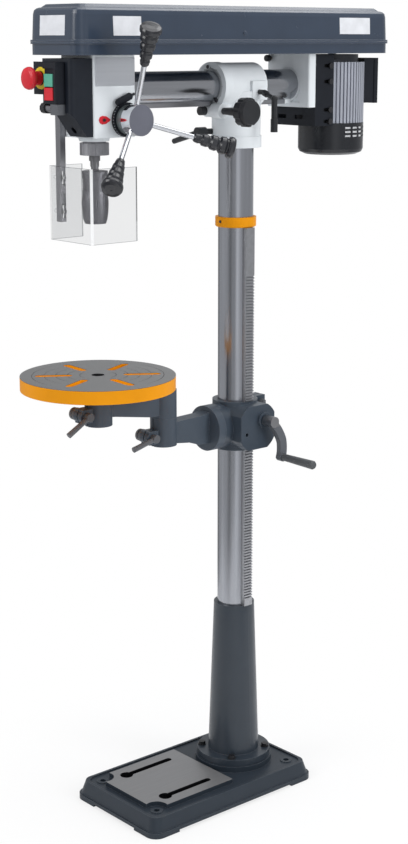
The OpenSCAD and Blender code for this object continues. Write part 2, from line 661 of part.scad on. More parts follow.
// Room for the guard post under the left half of the cover
nt_x = -4;
nt_z = 1484;
module notch(o) bx(-head_hw - 5, nt_x + o, fc_y0 - 5, head_y0 + 45, fc_z0 - 5, nt_z + o);
module front_cover() color([0.1, 0.1, 0.12]) difference() {
  fc_body(0);
  difference() {
    fc_body(fc_t);
    notch(fc_t);
  }
  notch(0);
  cy(fc_y0 - 1, fc_y0 + 30, -37, 1532, 9);
  cy(fc_y0 - 1, fc_y0 + 40, 21, 1437, 6);
  cy(fc_y0 - 1, fc_y0 + 10, 10, 1524, 12);
}
// Switch body with wells for the two buttons
sw_x0 = -10;
sw_x1 = 30;
sw_y = fc_y0 - 18;
module switch_body() color([0.16, 0.16, 0.17]) difference() {
  union() {
    rbx(sw_x0, sw_x1, sw_y, fc_y0, 1486, 1562, 2);
    bx(sw_x0, sw_x1, sw_y - 3, sw_y + 2, 1550, 1561);
    bx(24, sw_x1, sw_y - 4, sw_y + 2, 1489, 1550);
    cy(fc_y0 - 1, fc_y0 + 9, 10, 1524, 11.9);
  }
  for (z = [1492, 1517]) bx(-8.5, 19.5, sw_y - 4, sw_y + 9, z, z + 24);
}
module start_button() color([0.1, 0.55, 0.35]) bx(-8, 19, sw_y - 2.5, sw_y + 5, 1517.5, 1540.5);
module stop_button() color([0.75, 0.12, 0.15]) bx(-8, 19, sw_y - 2.5, sw_y + 5, 1492.5, 1515.5);
// Emergency stop: plate with contact box, collar and mushroom head
es_x = -37;
es_z = 1532;
module estop_base() color([0.18, 0.18, 0.18]) difference() {
  union() {
    bx(-65, sw_x0 - seat, fc_y0 - 3, fc_y0, 1502, 1562);
    bx(-65, -head_hw - seat, fc_y0 - 0.5, fc_y0 + 16, 1504, 1560);
    cy(fc_y0 - 6, fc_y0 - 2, es_x, es_z, 20);
    cy(fc_y0 - 1, fc_y0 + 24, es_x, es_z, 8.9);
  }
  cy(fc_y0 - 7, fc_y0 + 20, es_x, es_z, 6 + fit);
}
module estop_button() color([0.8, 0.1, 0.12]) {
  cy(fc_y0 - 22, fc_y0 + 14, es_x, es_z, 6);
  translate([es_x, fc_y0 - 10.5, es_z]) rotate([90, 0, 0]) rotate_extrude() polygon([[0, 0], [13, 0], [13, 13], [17, 18],
    [21, 20], [21, 24], [19.5, 27.5], [15, 30], [8, 31], [0, 31.3]]);
}

// Guard: pivot block, post, clamp knob and clear shield
gp_y = fc_y0 - 10.5;
gp_z = 1478;
post_x0 = -50;
post_x1 = -35;
post_y0 = head_y0 - 14.5;
post_y1 = head_y0 - 2.5;
post_b = 1261;
gs_y = (post_y0 + post_y1) / 2;
gs_z = [post_b + 20, post_b + 84];
gs_up = 10;
module guard_pivot() color([0.25, 0.26, 0.27]) {
  bx(7.5, 29, gp_y - 7.5, fc_y0, gp_z - 12, gp_z + 7.4);
  cx(-18, 8.5, gp_y, gp_z, 4);
}
module guard_post() color([0.5, 0.5, 0.51]) difference() {
  union() {
    bx(post_x0, post_x1, post_y0, post_y1, post_b, gp_z + 4);
    bx(post_x0, nt_x - 0.5, post_y0, post_y1, gp_z - 10, gp_z + 4);
    bx(-10.8, nt_x - 0.5, gp_y, post_y1, gp_z - 10, gp_z + 4);
    cx(-10.8, 6.5, gp_y, gp_z, 7.4);
  }
  bx(post_x0 + 2.5, post_x1 - 2.5, post_y0 + 2.5, post_y1 + 1, post_b - 1, gp_z - 12.5);
  for (z = gs_z) bx(post_x0 - 1, post_x1 + 1, gs_y - 2.2, gs_y + 2.2, z - gs_up - 2.2, z + gs_up + 2.2);
  cx(-12, 7, gp_y, gp_z, 4 + fit);
}
module guard_knob() color([0.12, 0.12, 0.13]) difference() {
  union() {
    cx(-25, -20, gp_y, gp_z, 7);
    translate([-24, gp_y, gp_z]) rotate([0, 90, 0]) lobes(10, 10, 1.5, 13);
  }
  cx(-19, -5, gp_y, gp_z, 4 + fit);
}
gs_x0 = -58;
gs_x1 = 75;
gs_h0 = post_b - 34;
gs_h1 = post_b + 107;
module guard_shield() color([0.8, 0.85, 0.87, 0.4]) {
  difference() {
    union() {
      rbx(gs_x0, gs_x1, fc_y0 + 22, fc_y0 + 100, gs_h0, gs_h1, 4);
      bx(gs_x1 - 20, gs_x1, fc_y0 + 26, fc_y0 + 131, gs_h0, gs_h1);
    }
    rbx(gs_x0 + 3, gs_x1 - 3, fc_y0 + 25, fc_y0 + 135, gs_h0 - 1, gs_h1 + 1, 2);
  }
  for (z = gs_z) {
    bx(gs_x0 + 2, post_x0 - 0.3, gs_y - 4, gs_y + 4, z - 6, z + 6);
    bx(post_x1 + 0.3, post_x1 + 3, gs_y - 4, gs_y + 4, z - 6, z + 6);
    cx(gs_x0 - 3, post_x1 + 6, gs_y, z, 2);
    cx(gs_x0 - 3, gs_x0 + 0.5, gs_y, z, 4);
    cx(post_x1 + 2.5, post_x1 + 5, gs_y, z, 4);
  }
}

// Quill with its fluted collar
module quill() color([0.6, 0.6, 0.6]) difference() {
  union() {
    cz(collar_z0 + 4, head_z1 - 27, 0, sp_y, quill_r);
    cz(collar_z0, head_z0 - 11, 0, sp_y, collar_r);
  }
  cz(collar_z0 - 1, collar_z0 + 17, 0, sp_y, 12 + fit);
  cz(collar_z0 + 16, head_z1 - 45, 0, sp_y, 14);
  cz(head_z1 - 46, head_z1, 0, sp_y, 12 + fit);
  for (a = [0 : 30 : 330]) translate([0, sp_y, 0]) rotate([0, 0, a]) cz(collar_z0 - 1, head_z0 - 10, collar_r + 1.6, 0, 2.4);
}
module spindle() color([0.62, 0.62, 0.62]) {
  cz(collar_z0, head_z1 - 27, 0, sp_y, 12);
  cz(collar_z0 - 11, collar_z0, 0, sp_y, 10.7);
  cz(collar_z0 - 22, collar_z0 - 11, 0, sp_y, 8.5);
  cz(chuck_z1 - 34, collar_z0 - 22, 0, sp_y, 7.3);
  cz(head_z1 - 28, pul_z + 5 * step_h + 2, 0, sp_y, 9);
}
// Chuck body, turning sleeve and three leaning jaws
module chuck_body() color([0.42, 0.42, 0.44]) difference() {
  union() {
    cz(chuck_z1 - 14, chuck_z1, 0, sp_y, 24.5);
    cz(chuck_z1 - 36, chuck_z1 - 13, 0, sp_y, 23);
    cz(chuck_z0 + 26, chuck_z1 - 35, 0, sp_y, 21);
    translate([0, sp_y, chuck_z0 + 1]) cylinder(h = 25.01, r1 = 17, r2 = 21);
  }
  cz(chuck_z1 - 34, chuck_z1 + 1, 0, sp_y, 7.3);
  cz(chuck_z0 - 1, chuck_z0 + 50, 0, sp_y, chuck_bore);
  for (a = [90, 210, 330]) jaw_at(a) translate([0, 0, -20]) cylinder(h = 60, r = jaw_r + 0.2);
}
module chuck_sleeve() color([0.4, 0.4, 0.42]) difference() {
  translate([0, sp_y, chuck_z0]) rotate_extrude() polygon([[18.5, 0], [20, 0], [22.6, 8], [24.4, 20], [25.3, 36], [25.2, 44], [23.4, 60], [23.2, 63.7],
    [21 + air, 63.7], [21 + air, 50], [23.7, 45], [23.7, 33], [17 + air, 1]]);
  for (a = [0 : 30 : 330]) translate([0, sp_y, 0]) rotate([0, 0, a]) cz(chuck_z0 + 30, chuck_z0 + 52, 26.6, 0, 2);
}
module jaw_at(a) translate([0, sp_y, 0]) rotate([0, 0, a]) translate([chuck_bore + jaw_r + 0.3, 0, chuck_z0 + 2]) rotate([0, jaw_a, 0]) children();
module jaw(a) color([0.5, 0.5, 0.5]) jaw_at(a) cylinder(h = 32, r = jaw_r);
module jaw_a() jaw(90);
module jaw_b() jaw(210);
module jaw_c() jaw(330);

// Feed: pinion shaft, hub with scale, three spokes and grips
module feed_shaft() color([0.55, 0.55, 0.56]) {
  cx(-66, 70, feed_y, feed_z, feed_r);
  cx(-10, 10, feed_y, feed_z, feed_pr);
}
module feed_hub() color([0.75, 0.76, 0.78]) difference() {
  union() {
    cx(head_hw + seat, hub_x - 40, feed_y, feed_z, 24);
    cx(head_hw + 9, hub_x - 27, feed_y, feed_z, hub_r - 1.5);
    cx(hub_x - 27, hub_x, feed_y, feed_z, hub_r);
  }
  cx(head_hw - 1, 70, feed_y, feed_z, feed_r);
  for (i = [0 : 2]) spoke(i) translate([0, 0, 15]) cylinder(h = 40, r = 5);
}
module spoke(i) translate([hub_x - 23, feed_y, feed_z]) rotate([spoke_a + 120 * i - 90, 0, 0]) rotate([0, spoke_lean, 0]) children();
module feed_spokes() color([0.7, 0.7, 0.72]) for (i = [0 : 2]) spoke(i) translate([0, 0, 15]) cylinder(h = grip_s + 30, r = 5);
module feed_grips() color([0.1, 0.1, 0.11]) for (i = [0 : 2]) spoke(i) translate([0, 0, grip_s]) difference() {
  rotate_extrude() polygon([for (p = [[0, 0], [6.5, 0], [8.5, 3], [9.5, 10], [8.5, 14], [8.5, 16], [11.5, 19], [12, 28],
    [10.5, 32], [10.5, 34], [14, 38], [14.5, 47], [12.5, 51], [12.5, 53], [16.5, 57], [17, 65], [15, 69], [15, 71], [19.5, 73],
    [20.5, 76], [20.5, 81], [18.5, 85], [12, 87], [0, 88]]) [p[0], p[1] * grip_l / 88]]);
  translate([0, 0, -1]) cylinder(h = 46, r = 5);
}
// Ring on the hub with a barrel clamp on top
module depth_ring() color([0.1, 0.1, 0.11]) difference() {
  union() {
    cx(head_hw + 0.8, head_hw + 8.7, feed_y, feed_z, 32);
    translate([head_hw + 8, feed_y - 7.5, feed_z + 38]) rotate([-68.5, 0, 0]) {
      translate([0, 0, -15]) cylinder(h = 30, r = 7);
      translate([0, 0, -19]) cylinder(h = 4.01, r1 = 4.5, r2 = 7);
      translate([0, 0, 14.99]) cylinder(h = 4, r1 = 7, r2 = 4.5);
      translate([0, 0, 18]) cylinder(h = 8, r = 2.5);
    }
  }
  cx(head_hw, head_hw + 9, feed_y, feed_z, 24 + fit);
}
// Return spring cup on the far side of the head
module spring_housing() color([0.15, 0.15, 0.16]) difference() {
  union() {
    cx(-head_hw - 20, -head_hw, feed_y, feed_z, 29.5);
    cx(-head_hw - 24, -head_hw - 20, feed_y, feed_z, 12);
  }
  cx(-head_hw - 17, -head_hw + 1, feed_y, feed_z, 26);
}

// Five-step pulleys and belt on the middle step
module steps(up) rotate_extrude() polygon(concat([[9 + fit, 0]],
  [for (i = [0 : 4]) for (k = [0 : 5]) let (r = step_r - step_d * (up ? 4 - i : i))
    [r - ((k == 2 || k == 3) ? belt_t + 1 : 0), i * step_h + [0.01, 1.5, 2.5, step_h - 2.5, step_h - 1.5, step_h][k]]],
  [[9 + fit, 5 * step_h]]));
module spindle_pulley() color([0.65, 0.65, 0.67]) {
  translate([0, sp_y, pul_z]) steps(true);
  difference() {
    cz(head_z1 - 23, pul_z + 0.1, 0, sp_y, 14);
    cz(head_z1 - 24, pul_z + 1, 0, sp_y, 9 + fit);
  }
}
module motor_pulley() color([0.65, 0.65, 0.67]) translate([0, mot_y, pul_z]) difference() {
  steps(false);
  translate([0, 0, -1]) cylinder(h = 5 * step_h + 2, r = 9);
}
module drive_belt() color([0.06, 0.06, 0.06]) translate([0, 0, belt_z - belt_w / 2]) linear_extrude(belt_w) difference() {
  union() {
    for (y = [sp_y, mot_y]) translate([0, y]) circle(r = belt_in + belt_t);
    translate([-belt_in - belt_t, sp_y]) square([2 * belt_in + 2 * belt_t, mot_y - sp_y]);
  }
  for (y = [sp_y, mot_y]) translate([0, y]) circle(r = belt_in);
  translate([-belt_in, sp_y]) square([2 * belt_in, mot_y - sp_y]);
}

// Ram end bracket and sliding motor mount
module motor_bracket() color([0.85, 0.87, 0.88]) difference() {
  union() {
    rbx(-63, 63, mb_y0, mb_y1, mb_z0, head_z1, 4);
    cy(mb_y1, ram_y1, 0, ram_z, 40);
  }
  cy(mb_y0 - 1, ram_y1 + 1, 0, ram_z, ram_r);
  cy(mb_y0 - 1, mb_y0 + 6 + seat, 0, ram_z, sock_r + 0.3);
  bx(-sock_r, sock_r, mb_y0 - 1, mb_y0 + 2, ram_z - 0.5 - sock_r, ram_z);
}
module motor_plate() color([0.1, 0.1, 0.11]) difference() {
  union() {
    bx(-60, 60, mb_y1, mb_y1 + 6, mp_z0, mp_z1);
    for (s = [-1, 1]) bx(s * 57 - 3, s * 57 + 3, mb_y1, mp_y1, mp_z0, mp_z1);
  }
  cy(mb_y1 - 1, mb_y1 + 7, 0, ram_z, 40.3);
  for (z = plate_z) {
    bx(-61, 61, mp_by[0], mp_by[1], z - 3.5, z + 3.5);
    for (y = mp_by) cx(-61, 61, y, z, 3.5);
  }
  for (x = [-38, 12]) bx(x - 12, x + 12, mb_y1 - 1, mb_y1 + 7, mp_z0 + 14, mp_z0 + 22);
}
// Finned motor body with its foot block
module motor_body() color([0.72, 0.74, 0.76]) difference() {
  union() {
    translate([0, mot_y, mot_z1]) linear_extrude(mot_z2 - mot_z1) polygon([for (i = [0 : fins - 1]) for (k = [0 : 3])
      let (a = 360 * (i + [-0.37, -0.33, 0.33, 0.37][k]) / fins, r = (k == 0 || k == 3) ? mot_r - fin_h : mot_r) [r * cos(a), r * sin(a)]]);
    cz(mot_z2, head_z1 - 2, 0, mot_y, 56);
    bx(-53.6, 53.6, mp_by[0] - 6, mot_y - 30, mot_z1 + 2, mot_z2 + 6);
    for (z = plate_z) {
      cx(-64.5, 64.5, mp_by[1], z, 3);
      for (s = [-1, 1]) cx(s * 62.4 - 2.2, s * 62.4 + 2.2, mp_by[1], z, 6);
    }
  }
  cz(mot_z1 + 8, mot_z2 + 6, 0, mot_y, 52);
  cz(mot_z1 - 1, head_z1, 0, mot_y, 9 + fit);
}
module motor_rotor() color([0.5, 0.5, 0.52]) {
  cz(mot_z0 + 14, pul_z + 5 * step_h - 2, 0, mot_y, 9);
  cz(mot_z1 + 14, mot_z2 - 12, 0, mot_y, 48);
  difference() {
    cz(mot_z0 + 16, mot_z0 + 44, 0, mot_y, 58);
    for (a = [0 : 60 : 300]) translate([0, mot_y, 0]) rotate([0, 0, a]) bx(14, 60, 3, 26, mot_z0 + 20, mot_z0 + 45);
  }
}
module fan_cover() color([0.1, 0.1, 0.11]) difference() {
  union() {
    cz(mot_z0 + 12, mot_z1, 0, mot_y, mot_r + 0.5);
    translate([0, mot_y, mot_z0 + 5]) cylinder(h = 7.01, r1 = mot_r - 3, r2 = mot_r + 0.5);
    translate([0, mot_y, mot_z0]) cylinder(h = 5.01, r1 = mot_r - 14, r2 = mot_r - 3);
  }
  cz(mot_z0 + 12, mot_z1 + 1, 0, mot_y, mot_r - 2);
  translate([0, mot_y, mot_z0 + 2.5]) cylinder(h = 9.6, r1 = mot_r - 14, r2 = mot_r - 2);
  for (r = [18 : 9 : 45]) translate([0, mot_y, mot_z0 - 1]) linear_extrude(5) intersection() {
    difference() { circle(r = r + 2.5); circle(r = r - 2.5); }
    for (a = [0, 90]) rotate(a) polygon([[60, -44], [60, 44], [6, 0], [-60, 44], [-60, -44], [-6, 0]]);
  }
  for (a = [-13, 3, 19, 35, 167, 183, 199, 215]) for (z = [1401, 1409.5, 1418])
    translate([0, mot_y, z]) rotate([0, 0, a]) bx(60, 75, -7.5, 7.5, 0, 4);
}
module terminal_box() color([0.12, 0.12, 0.13]) difference() {
  union() {
    rbx(-40, 45, mot_y + 45, mot_y + 84, 1470, 1563, 4);
    rbx(-41, 46, mot_y + 84.01, mot_y + 98, 1469, 1564, 5);
  }
  cz(1460, 1570, 0, mot_y, mot_r + seat);
  cz(1468, 1482, -20, mot_y + 76, 6);
}

// Belt cover: tray with lip and hinge knuckles, lid with raised panel
hin_x = -cov_hw - cov_lip - 5;
hin_y = [-150, 280];
pin_hr = 1.6;
module cover_tray() color([0.27, 0.31, 0.38]) difference() {
  union() {
    rbx(-cov_hw, cov_hw, cov_y0, cov_y1, head_z1, rim_z, cov_cr);
    rbx(-cov_hw - cov_lip, cov_hw + cov_lip, cov_y0 - cov_lip, cov_y1 + cov_lip, rim_z - 4, rim_z, cov_cr + cov_lip);
    for (y = hin_y) for (s = [-12, 12]) {
      cy(y + s - 5, y + s + 5, hin_x, rim_z, 4);
      bx(hin_x, -cov_hw, y + s - 5, y + s + 5, rim_z - 4, rim_z);
      cy(y - 9, y + 9, hin_x, rim_z, pin_hr);
    }
  }
  rbx(-cov_hw + cov_t, cov_hw - cov_t, cov_y0 + cov_t, cov_y1 - cov_t, head_z1 + 3, rim_z + 1, cov_cr - cov_t);
  cz(head_z1 - 1, head_z1 + 4, 0, sp_y, 24);
  cz(head_z1 - 1, head_z1 + 4, 0, mot_y, 20);
  bx(-20, 20, mot_y - 12, mot_y, head_z1 - 1, head_z1 + 4);
  cz(head_z1 - 1, head_z1 + 4, 0, mot_y - 12, 20);
}
module lid_shell(o) hull() for (x = [-cov_hw + cov_cr, cov_hw - cov_cr]) for (y = [cov_y0 + cov_cr, cov_y1 - cov_cr]) translate([x, y, 0]) {
  translate([0, 0, rim_z + seat - (o > 0 ? 1 : 0)]) cylinder(h = 1, r = cov_cr - o, $fn = 40);
  translate([0, 0, lid_z - 13 - o]) cylinder(h = 1, r = cov_cr - 2.5 - o, $fn = 40);
  translate([0, 0, lid_z - 6 - o]) cylinder(h = 1, r = cov_cr - 4.5 - o, $fn = 40);
  translate([0, 0, lid_z - 2 - o]) cylinder(h = 0.5, r = cov_cr - 9 - o, $fn = 40);
  translate([0, 0, lid_z - 0.5 - o]) cylinder(h = 0.5, r = cov_cr - 14 - o, $fn = 40);
}
module lid_panel(o) hull() {
  rbx(-cov_hw + pan_in + o, cov_hw - pan_in - o, cov_y0 + pan_in + o, cov_y1 - pan_in - o, lid_z - 1.5 - o, lid_z - 1 - o, 14);
  rbx(-cov_hw + pan_in + 9 + o, cov_hw - pan_in - 9 - o, cov_y0 + pan_in + 9 + o, cov_y1 - pan_in - 9 - o,
    lid_z + lid_up - 0.5 - o, lid_z + lid_up - o, 12);
}
module cover_lid() color([0.27, 0.31, 0.38]) difference() {
  union() {
    lid_shell(0);
    lid_panel(0);
    rbx(-cov_hw - cov_lip, cov_hw + cov_lip, cov_y0 - cov_lip, cov_y1 + cov_lip, rim_z + seat, rim_z + 3.5, cov_cr + cov_lip);
    for (y = hin_y) {
      cy(y - 6.7, y + 6.7, hin_x, rim_z, 4);
      bx(hin_x, -cov_hw, y - 6.7, y + 6.7, rim_z + seat, rim_z + 4);
    }
    cx(cov_hw - 4, cov_hw + 1.5, 62, rim_z + 16, 4);
  }
  lid_shell(cov_t);
  lid_panel(cov_t);
  for (y = hin_y) cy(y - 18, y + 18, hin_x, rim_z, pin_hr + fit);
}

base();
column_support();
support_bolts();
column_tube();
rack_ring();
column_rack();
table_bracket();
lift_gear();
crank_shaft();
crank_arm();
crank_grip();
bracket_clamp();
tilt_arm();
arm_clamp();
swing_arm();
table_clamp();
table();
turret();
turret_clamp();
ram_clamp();
stop_knob();
traverse_shaft();
traverse_knob();
ram_rack();
ram_tube();
head_casting();
front_cover();
switch_body();
start_button();
stop_button();
estop_base();
estop_button();
guard_pivot();
guard_post();
guard_knob();
guard_shield();
quill();
spindle();
chuck_body();
chuck_sleeve();
jaw_a();
jaw_b();
jaw_c();
feed_shaft();
feed_hub();
feed_spokes();
feed_grips();
depth_ring();
spring_housing();
spindle_pulley();
motor_pulley();
drive_belt();
motor_bracket();
motor_plate();
motor_body();
motor_rotor();
fan_cover();
terminal_box();
cover_tray();
cover_lid();
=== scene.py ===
"""Radial arm drill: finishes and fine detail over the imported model, in metres, in the model's own frame."""

import bpy
import bmesh
import math
from mathutils import Matrix, Vector


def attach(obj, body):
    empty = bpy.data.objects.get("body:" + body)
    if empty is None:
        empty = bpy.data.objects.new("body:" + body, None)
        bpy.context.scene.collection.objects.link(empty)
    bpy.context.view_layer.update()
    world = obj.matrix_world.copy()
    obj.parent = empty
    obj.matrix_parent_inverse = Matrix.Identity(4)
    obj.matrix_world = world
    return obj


bl_info = {
    "name": "Radial arm drill",
    "version": (1, 0, 0),
    "blender": (4, 5, 0),
    "location": "View3D > Sidebar > Drill",
    "description": "Finishes and fine detail of a floor-standing radial arm drill",
    "category": "Add Mesh",
}

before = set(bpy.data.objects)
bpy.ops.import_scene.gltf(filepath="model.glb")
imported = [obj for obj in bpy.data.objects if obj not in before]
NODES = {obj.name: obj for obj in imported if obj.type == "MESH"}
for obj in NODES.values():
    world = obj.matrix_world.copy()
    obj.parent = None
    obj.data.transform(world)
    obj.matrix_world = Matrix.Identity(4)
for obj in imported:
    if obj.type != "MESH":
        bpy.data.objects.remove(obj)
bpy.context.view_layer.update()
MM = 0.001

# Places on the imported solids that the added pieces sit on, in mm
RING_SCREW = (0, 69.3, 1238)
TURRET_FACE_Y = 41
RAM_Z = 1511
TURRET_SCREWS = ((-8, 42.5, 1549), (19.4, 40.6, 1483.4))
HEAD_SIDE_X = 50
PLATE_Y, PLATE_Z = (-286, -192.5), (1517.5, 1569.5)
POINTER_X = (49.9, 51.6)
POINTER_SCREW = (51.4, -267.5, 1455.5)
ESTOP_RING = (-37, -345.6, 1532)
FEED_Y, FEED_Z = -217, 1455
DEPTH_RING_X = 58.2
MOTOR_Y = 385
VENT_ANGLES = (-13, 3, 19, 35, 167, 183, 199, 215)
BRACKET_KNOB = (-52, 256, 1564)
LID_FOOT_Z = 1598.6
LID_LEAN = math.atan2(2.5, 48.4)

# Where the finish changes on one piece, in metres
TABLE_TOP_Z = 0.9591
TABLE_Y = -0.252
TABLE_BORE_R = 0.0128
GROOVE_HALF = 0.0002
PAD_Z, PAD_END_Y = 0.0477, 0.0205
PAD_SLOT_X, PAD_SLOT_HALF, PAD_SLOT_Y = 0.066, 0.0145, (-0.158, -0.006)
BAR_EYES_Y = ((0.24, 0.27), (-0.20, -0.1895))
CRANK_HUB_Z = (0.8125, 0.85)
HUB_STEM_X, HUB_FACE_X = (0.0, 0.0742), (0.1005, 0.12)
MOTOR_TOP_Z, MOTOR_FOOT_Y = (1.5563, 1.7), (0.20, 0.336)
# Painted highlight on the guard sheet's bent corner, and painted shade along its cut edges
SHEET_HIGHLIGHT_BOX = ((0.0715, -0.3185, 1.2), (0.0755, -0.3135, 1.4))
SHEET_EDGE_SHADE_BOXES = (
    ((-0.06, -0.32, 1.3672), (0.08, -0.18, 1.3690)),
    ((-0.06, -0.32, 1.2260), (0.08, -0.18, 1.2278)),
    ((-0.0585, -0.3185, 1.2), (-0.0562, -0.3150, 1.4)),
    ((-0.0590, -0.2418, 1.2), (-0.0540, -0.2390, 1.4)),
    ((0.0540, -0.2108, 1.2), (0.0760, -0.2080, 1.4)),
)

# Studio: lamps are name, place, aim, width, height, power, and whether reflections show them
LAMPS = (
    ("Key", (-0.4, -3.0, 2.9), (0, 0, 0.95), 1.6, 2.2, 48, True),
    ("Fill", (3.2, 0.9, 2.0), (0, 0, 0.9), 1.4, 2.4, 54, False),
    ("Top", (0.2, 0.2, 4.2), (0, 0, 0), 2.4, 2.4, 30, True),
    ("Rear top", (0.3, 1.9, 3.9), (0, 0, 1.2), 2.2, 1.2, 20, True),
)
BANDS_ALONG = (0.655, 0.756, 0.0)
BANDS = (
    (0.0, 0.6), (0.1, 0.56), (0.19, 0.24), (0.26, 0.26), (0.33, 0.5),
    (0.45, 0.4), (0.57, 0.95), (0.64, 0.95), (0.78, 0.58), (1.0, 0.5),
)
BAND_TINT = (0.96, 0.975, 1.0)
FLOOR_HALF, FLOOR_Z = 1.3, -0.0005
SENSOR = 36.0
LENS = 1614 / 844 * SENSOR
CAMERA_AT = (2.4889, -2.1318, 1.6014)
CAMERA_DOWN, CAMERA_TURN = 13.32, 49.1


# ---------------------------------------------------------------- settings

def length(name, description, default):
    return bpy.props.FloatProperty(name=name, description=description, default=default, unit="LENGTH")


def colour(name, description, default):
    return bpy.props.FloatVectorProperty(
        name=name, description=description, subtype="COLOR", size=3, default=default)


class DrillSizes(bpy.types.PropertyGroup):
    edge: length("Edge softness", "Radius of the softened edges on castings", 0.0016)
    plate: length("Plate thickness", "Thickness of the riveted plate on the head", 0.0006)
    label: length("Label thickness", "Thickness of the bare labels on the lid", 0.0003)
    tick: length("Tick width", "Width of a graduation mark", 0.0007)


class DrillColours(bpy.types.PropertyGroup):
    cast: colour("Casting paint", "Paint of base, column foot and table arms", (0.031, 0.042, 0.057))
    cover: colour("Cover paint", "Paint of the belt cover", (0.029, 0.044, 0.072))
    light: colour("Light paint", "Paint of head, turret and motor bracket", (0.78, 0.815, 0.84))
    orange: colour("Orange paint", "Paint of the table and the rack ring", (0.82, 0.31, 0.004))
    black: colour("Black plastic", "Switch, motor ends and depth ring", (0.013, 0.015, 0.020))
    red: colour("Red", "Stop buttons and depth pointer", (0.62, 0.018, 0.030))
    green: colour("Green", "Start button", (0.10, 0.39, 0.28))
    yellow: colour("Yellow", "Ring round the emergency stop", (0.75, 0.62, 0.02))


def sizes():
    return bpy.context.scene.drill_sizes


def colours():
    return bpy.context.scene.drill_colours


# ---------------------------------------------------------------- shader nodes

def feed(tree, socket, value):
    """Gives an input a value, or links an output to it."""
    if isinstance(value, bpy.types.NodeSocket):
        tree.links.new(value, socket)
    else:
        socket.default_value = value


def wire(tree, n, **values):
    for key, value in values.items():
        feed(tree, n.inputs[key.replace("_", " ")], value)


def node(tree, kind, **values):
    """Adds a node. Each value is one of its settings, or goes to the input of that name."""
    n = tree.nodes.new(kind)
    for key, value in values.items():
        if hasattr(n, key):
            setattr(n, key, value)
        else:
            wire(tree, n, **{key: value})
    return n


def maths(tree, operation, *values, kind="ShaderNodeMath"):
    n = node(tree, kind, operation=operation)
    for socket, value in zip(n.inputs, values):
        feed(tree, socket, value)
    return n.outputs["Value"]


def vector_maths(tree, operation, *values):
    return maths(tree, operation, *values, kind="ShaderNodeVectorMath")


def noise(tree, vector, scale, detail):
    return node(tree, "ShaderNodeTexNoise", Scale=scale, Detail=detail, Vector=vector).outputs["Fac"]


def fitted(tree, value, low, high, **span):
    return node(tree, "ShaderNodeMapRange", To_Min=low, To_Max=high, Value=value, **span).outputs["Result"]


def mixed(tree, factor, a, b):
    return node(tree, "ShaderNodeMix", data_type="RGBA", Factor=factor, A=a, B=b).outputs["Result"]


def ramp(tree, value, stops):
    """Colour ramp over a value. Each stop is a position and a colour."""
    n = node(tree, "ShaderNodeValToRGB", Fac=value)
    elements = n.color_ramp.elements
    for position, _ in stops[1:-1]:
        elements.new(position)
    for element, (position, tone) in zip(elements, stops):
        element.position = position
        element.color = (*tone, 1)
    return n.outputs["Color"]


def coords(tree):
    return node(tree, "ShaderNodeTexCoord").outputs["Object"]


def split(tree, at):
    return node(tree, "ShaderNodeSeparateXYZ", Vector=at).outputs


def between(tree, value, low, high):
    return maths(tree, "COMPARE", value, (low + high) / 2, (high - low) / 2)


def inside(tree, parts, low, high):
    """Mask that is one inside a box, given by two corners in metres."""
    x, y, z = (between(tree, parts[axis], a, b) for axis, a, b in zip("XYZ", low, high))
    return maths(tree, "MULTIPLY", maths(tree, "MULTIPLY", x, y), z)


def most(tree, masks):
    """Mask that is one where any of the masks is."""
    out = masks[0]
    for other in masks[1:]:
        out = maths(tree, "MAXIMUM", out, other)
    return out


def tinted(tree, vector, tone, scale, spread):
    """A colour that drifts a little over the surface."""
    return ramp(tree, noise(tree, vector, scale, 3.0), (
        (0.3, [c * (1 - spread) for c in tone]),
        (0.7, [min(1, c * (1 + spread)) for c in tone])))


def spread_rough(tree, vector, low, high, scale):
    return fitted(tree, noise(tree, vector, scale, 4.0), low, high)


def soft_edges(tree, shader, vector, edge, grain, depth):
    """Softened edges, with a fine surface grain on top."""
    bevel = node(tree, "ShaderNodeBevel", samples=4, Radius=edge).outputs["Normal"]
    bump = node(tree, "ShaderNodeBump", Strength=depth, Distance=0.0004,
                Height=noise(tree, vector, grain, 2.0), Normal=bevel)
    wire(tree, shader, Normal=bump.outputs["Normal"])
    return bevel


def rubbed_and_highlit_edges(tree, bevel, base, tone, amount):
    """Paint lighter on its edges, from the angle between the true and the softened normal: partly paint rubbed
    thin, partly a painted highlight.
    """
    true = node(tree, "ShaderNodeNewGeometry").outputs["Normal"]
    bend = vector_maths(tree, "DOT_PRODUCT", true, bevel)
    return mixed(tree, fitted(tree, bend, 0.0, amount, From_Min=0.995, From_Max=0.86), base, (*tone, 1))


# ---------------------------------------------------------------- finishes

def new_finish(name, **sockets):
    mat = bpy.data.materials.new(name)
    mat.use_nodes = True
    tree = mat.node_tree
    shader = tree.nodes["Principled BSDF"]
    wire(tree, shader, **sockets)
    return mat, tree, shader


def paint(name, tone, rough=0.35, coat=0.25, grain=900.0, depth=0.12, edge=None, rub_and_highlight=0.35, shine=0.35):
    mat, tree, shader = new_finish(name, Coat_Weight=coat, Coat_Roughness=0.18, Specular_IOR_Level=shine)
    at = coords(tree)
    bevel = soft_edges(tree, shader, at, edge or sizes().edge, grain, depth)
    # Edge colour: partly paint rubbed thin, partly a painted highlight.
    rubbed_and_highlit_tone = [min(1, c * 1.5 + 0.05) for c in tone]
    wire(tree, shader,
         Base_Color=rubbed_and_highlit_edges(tree, bevel, tinted(tree, at, tone, 14.0, 0.06), rubbed_and_highlit_tone, rub_and_highlight),
         Roughness=spread_rough(tree, at, rough - 0.05, rough + 0.07, 30.0))
    return mat


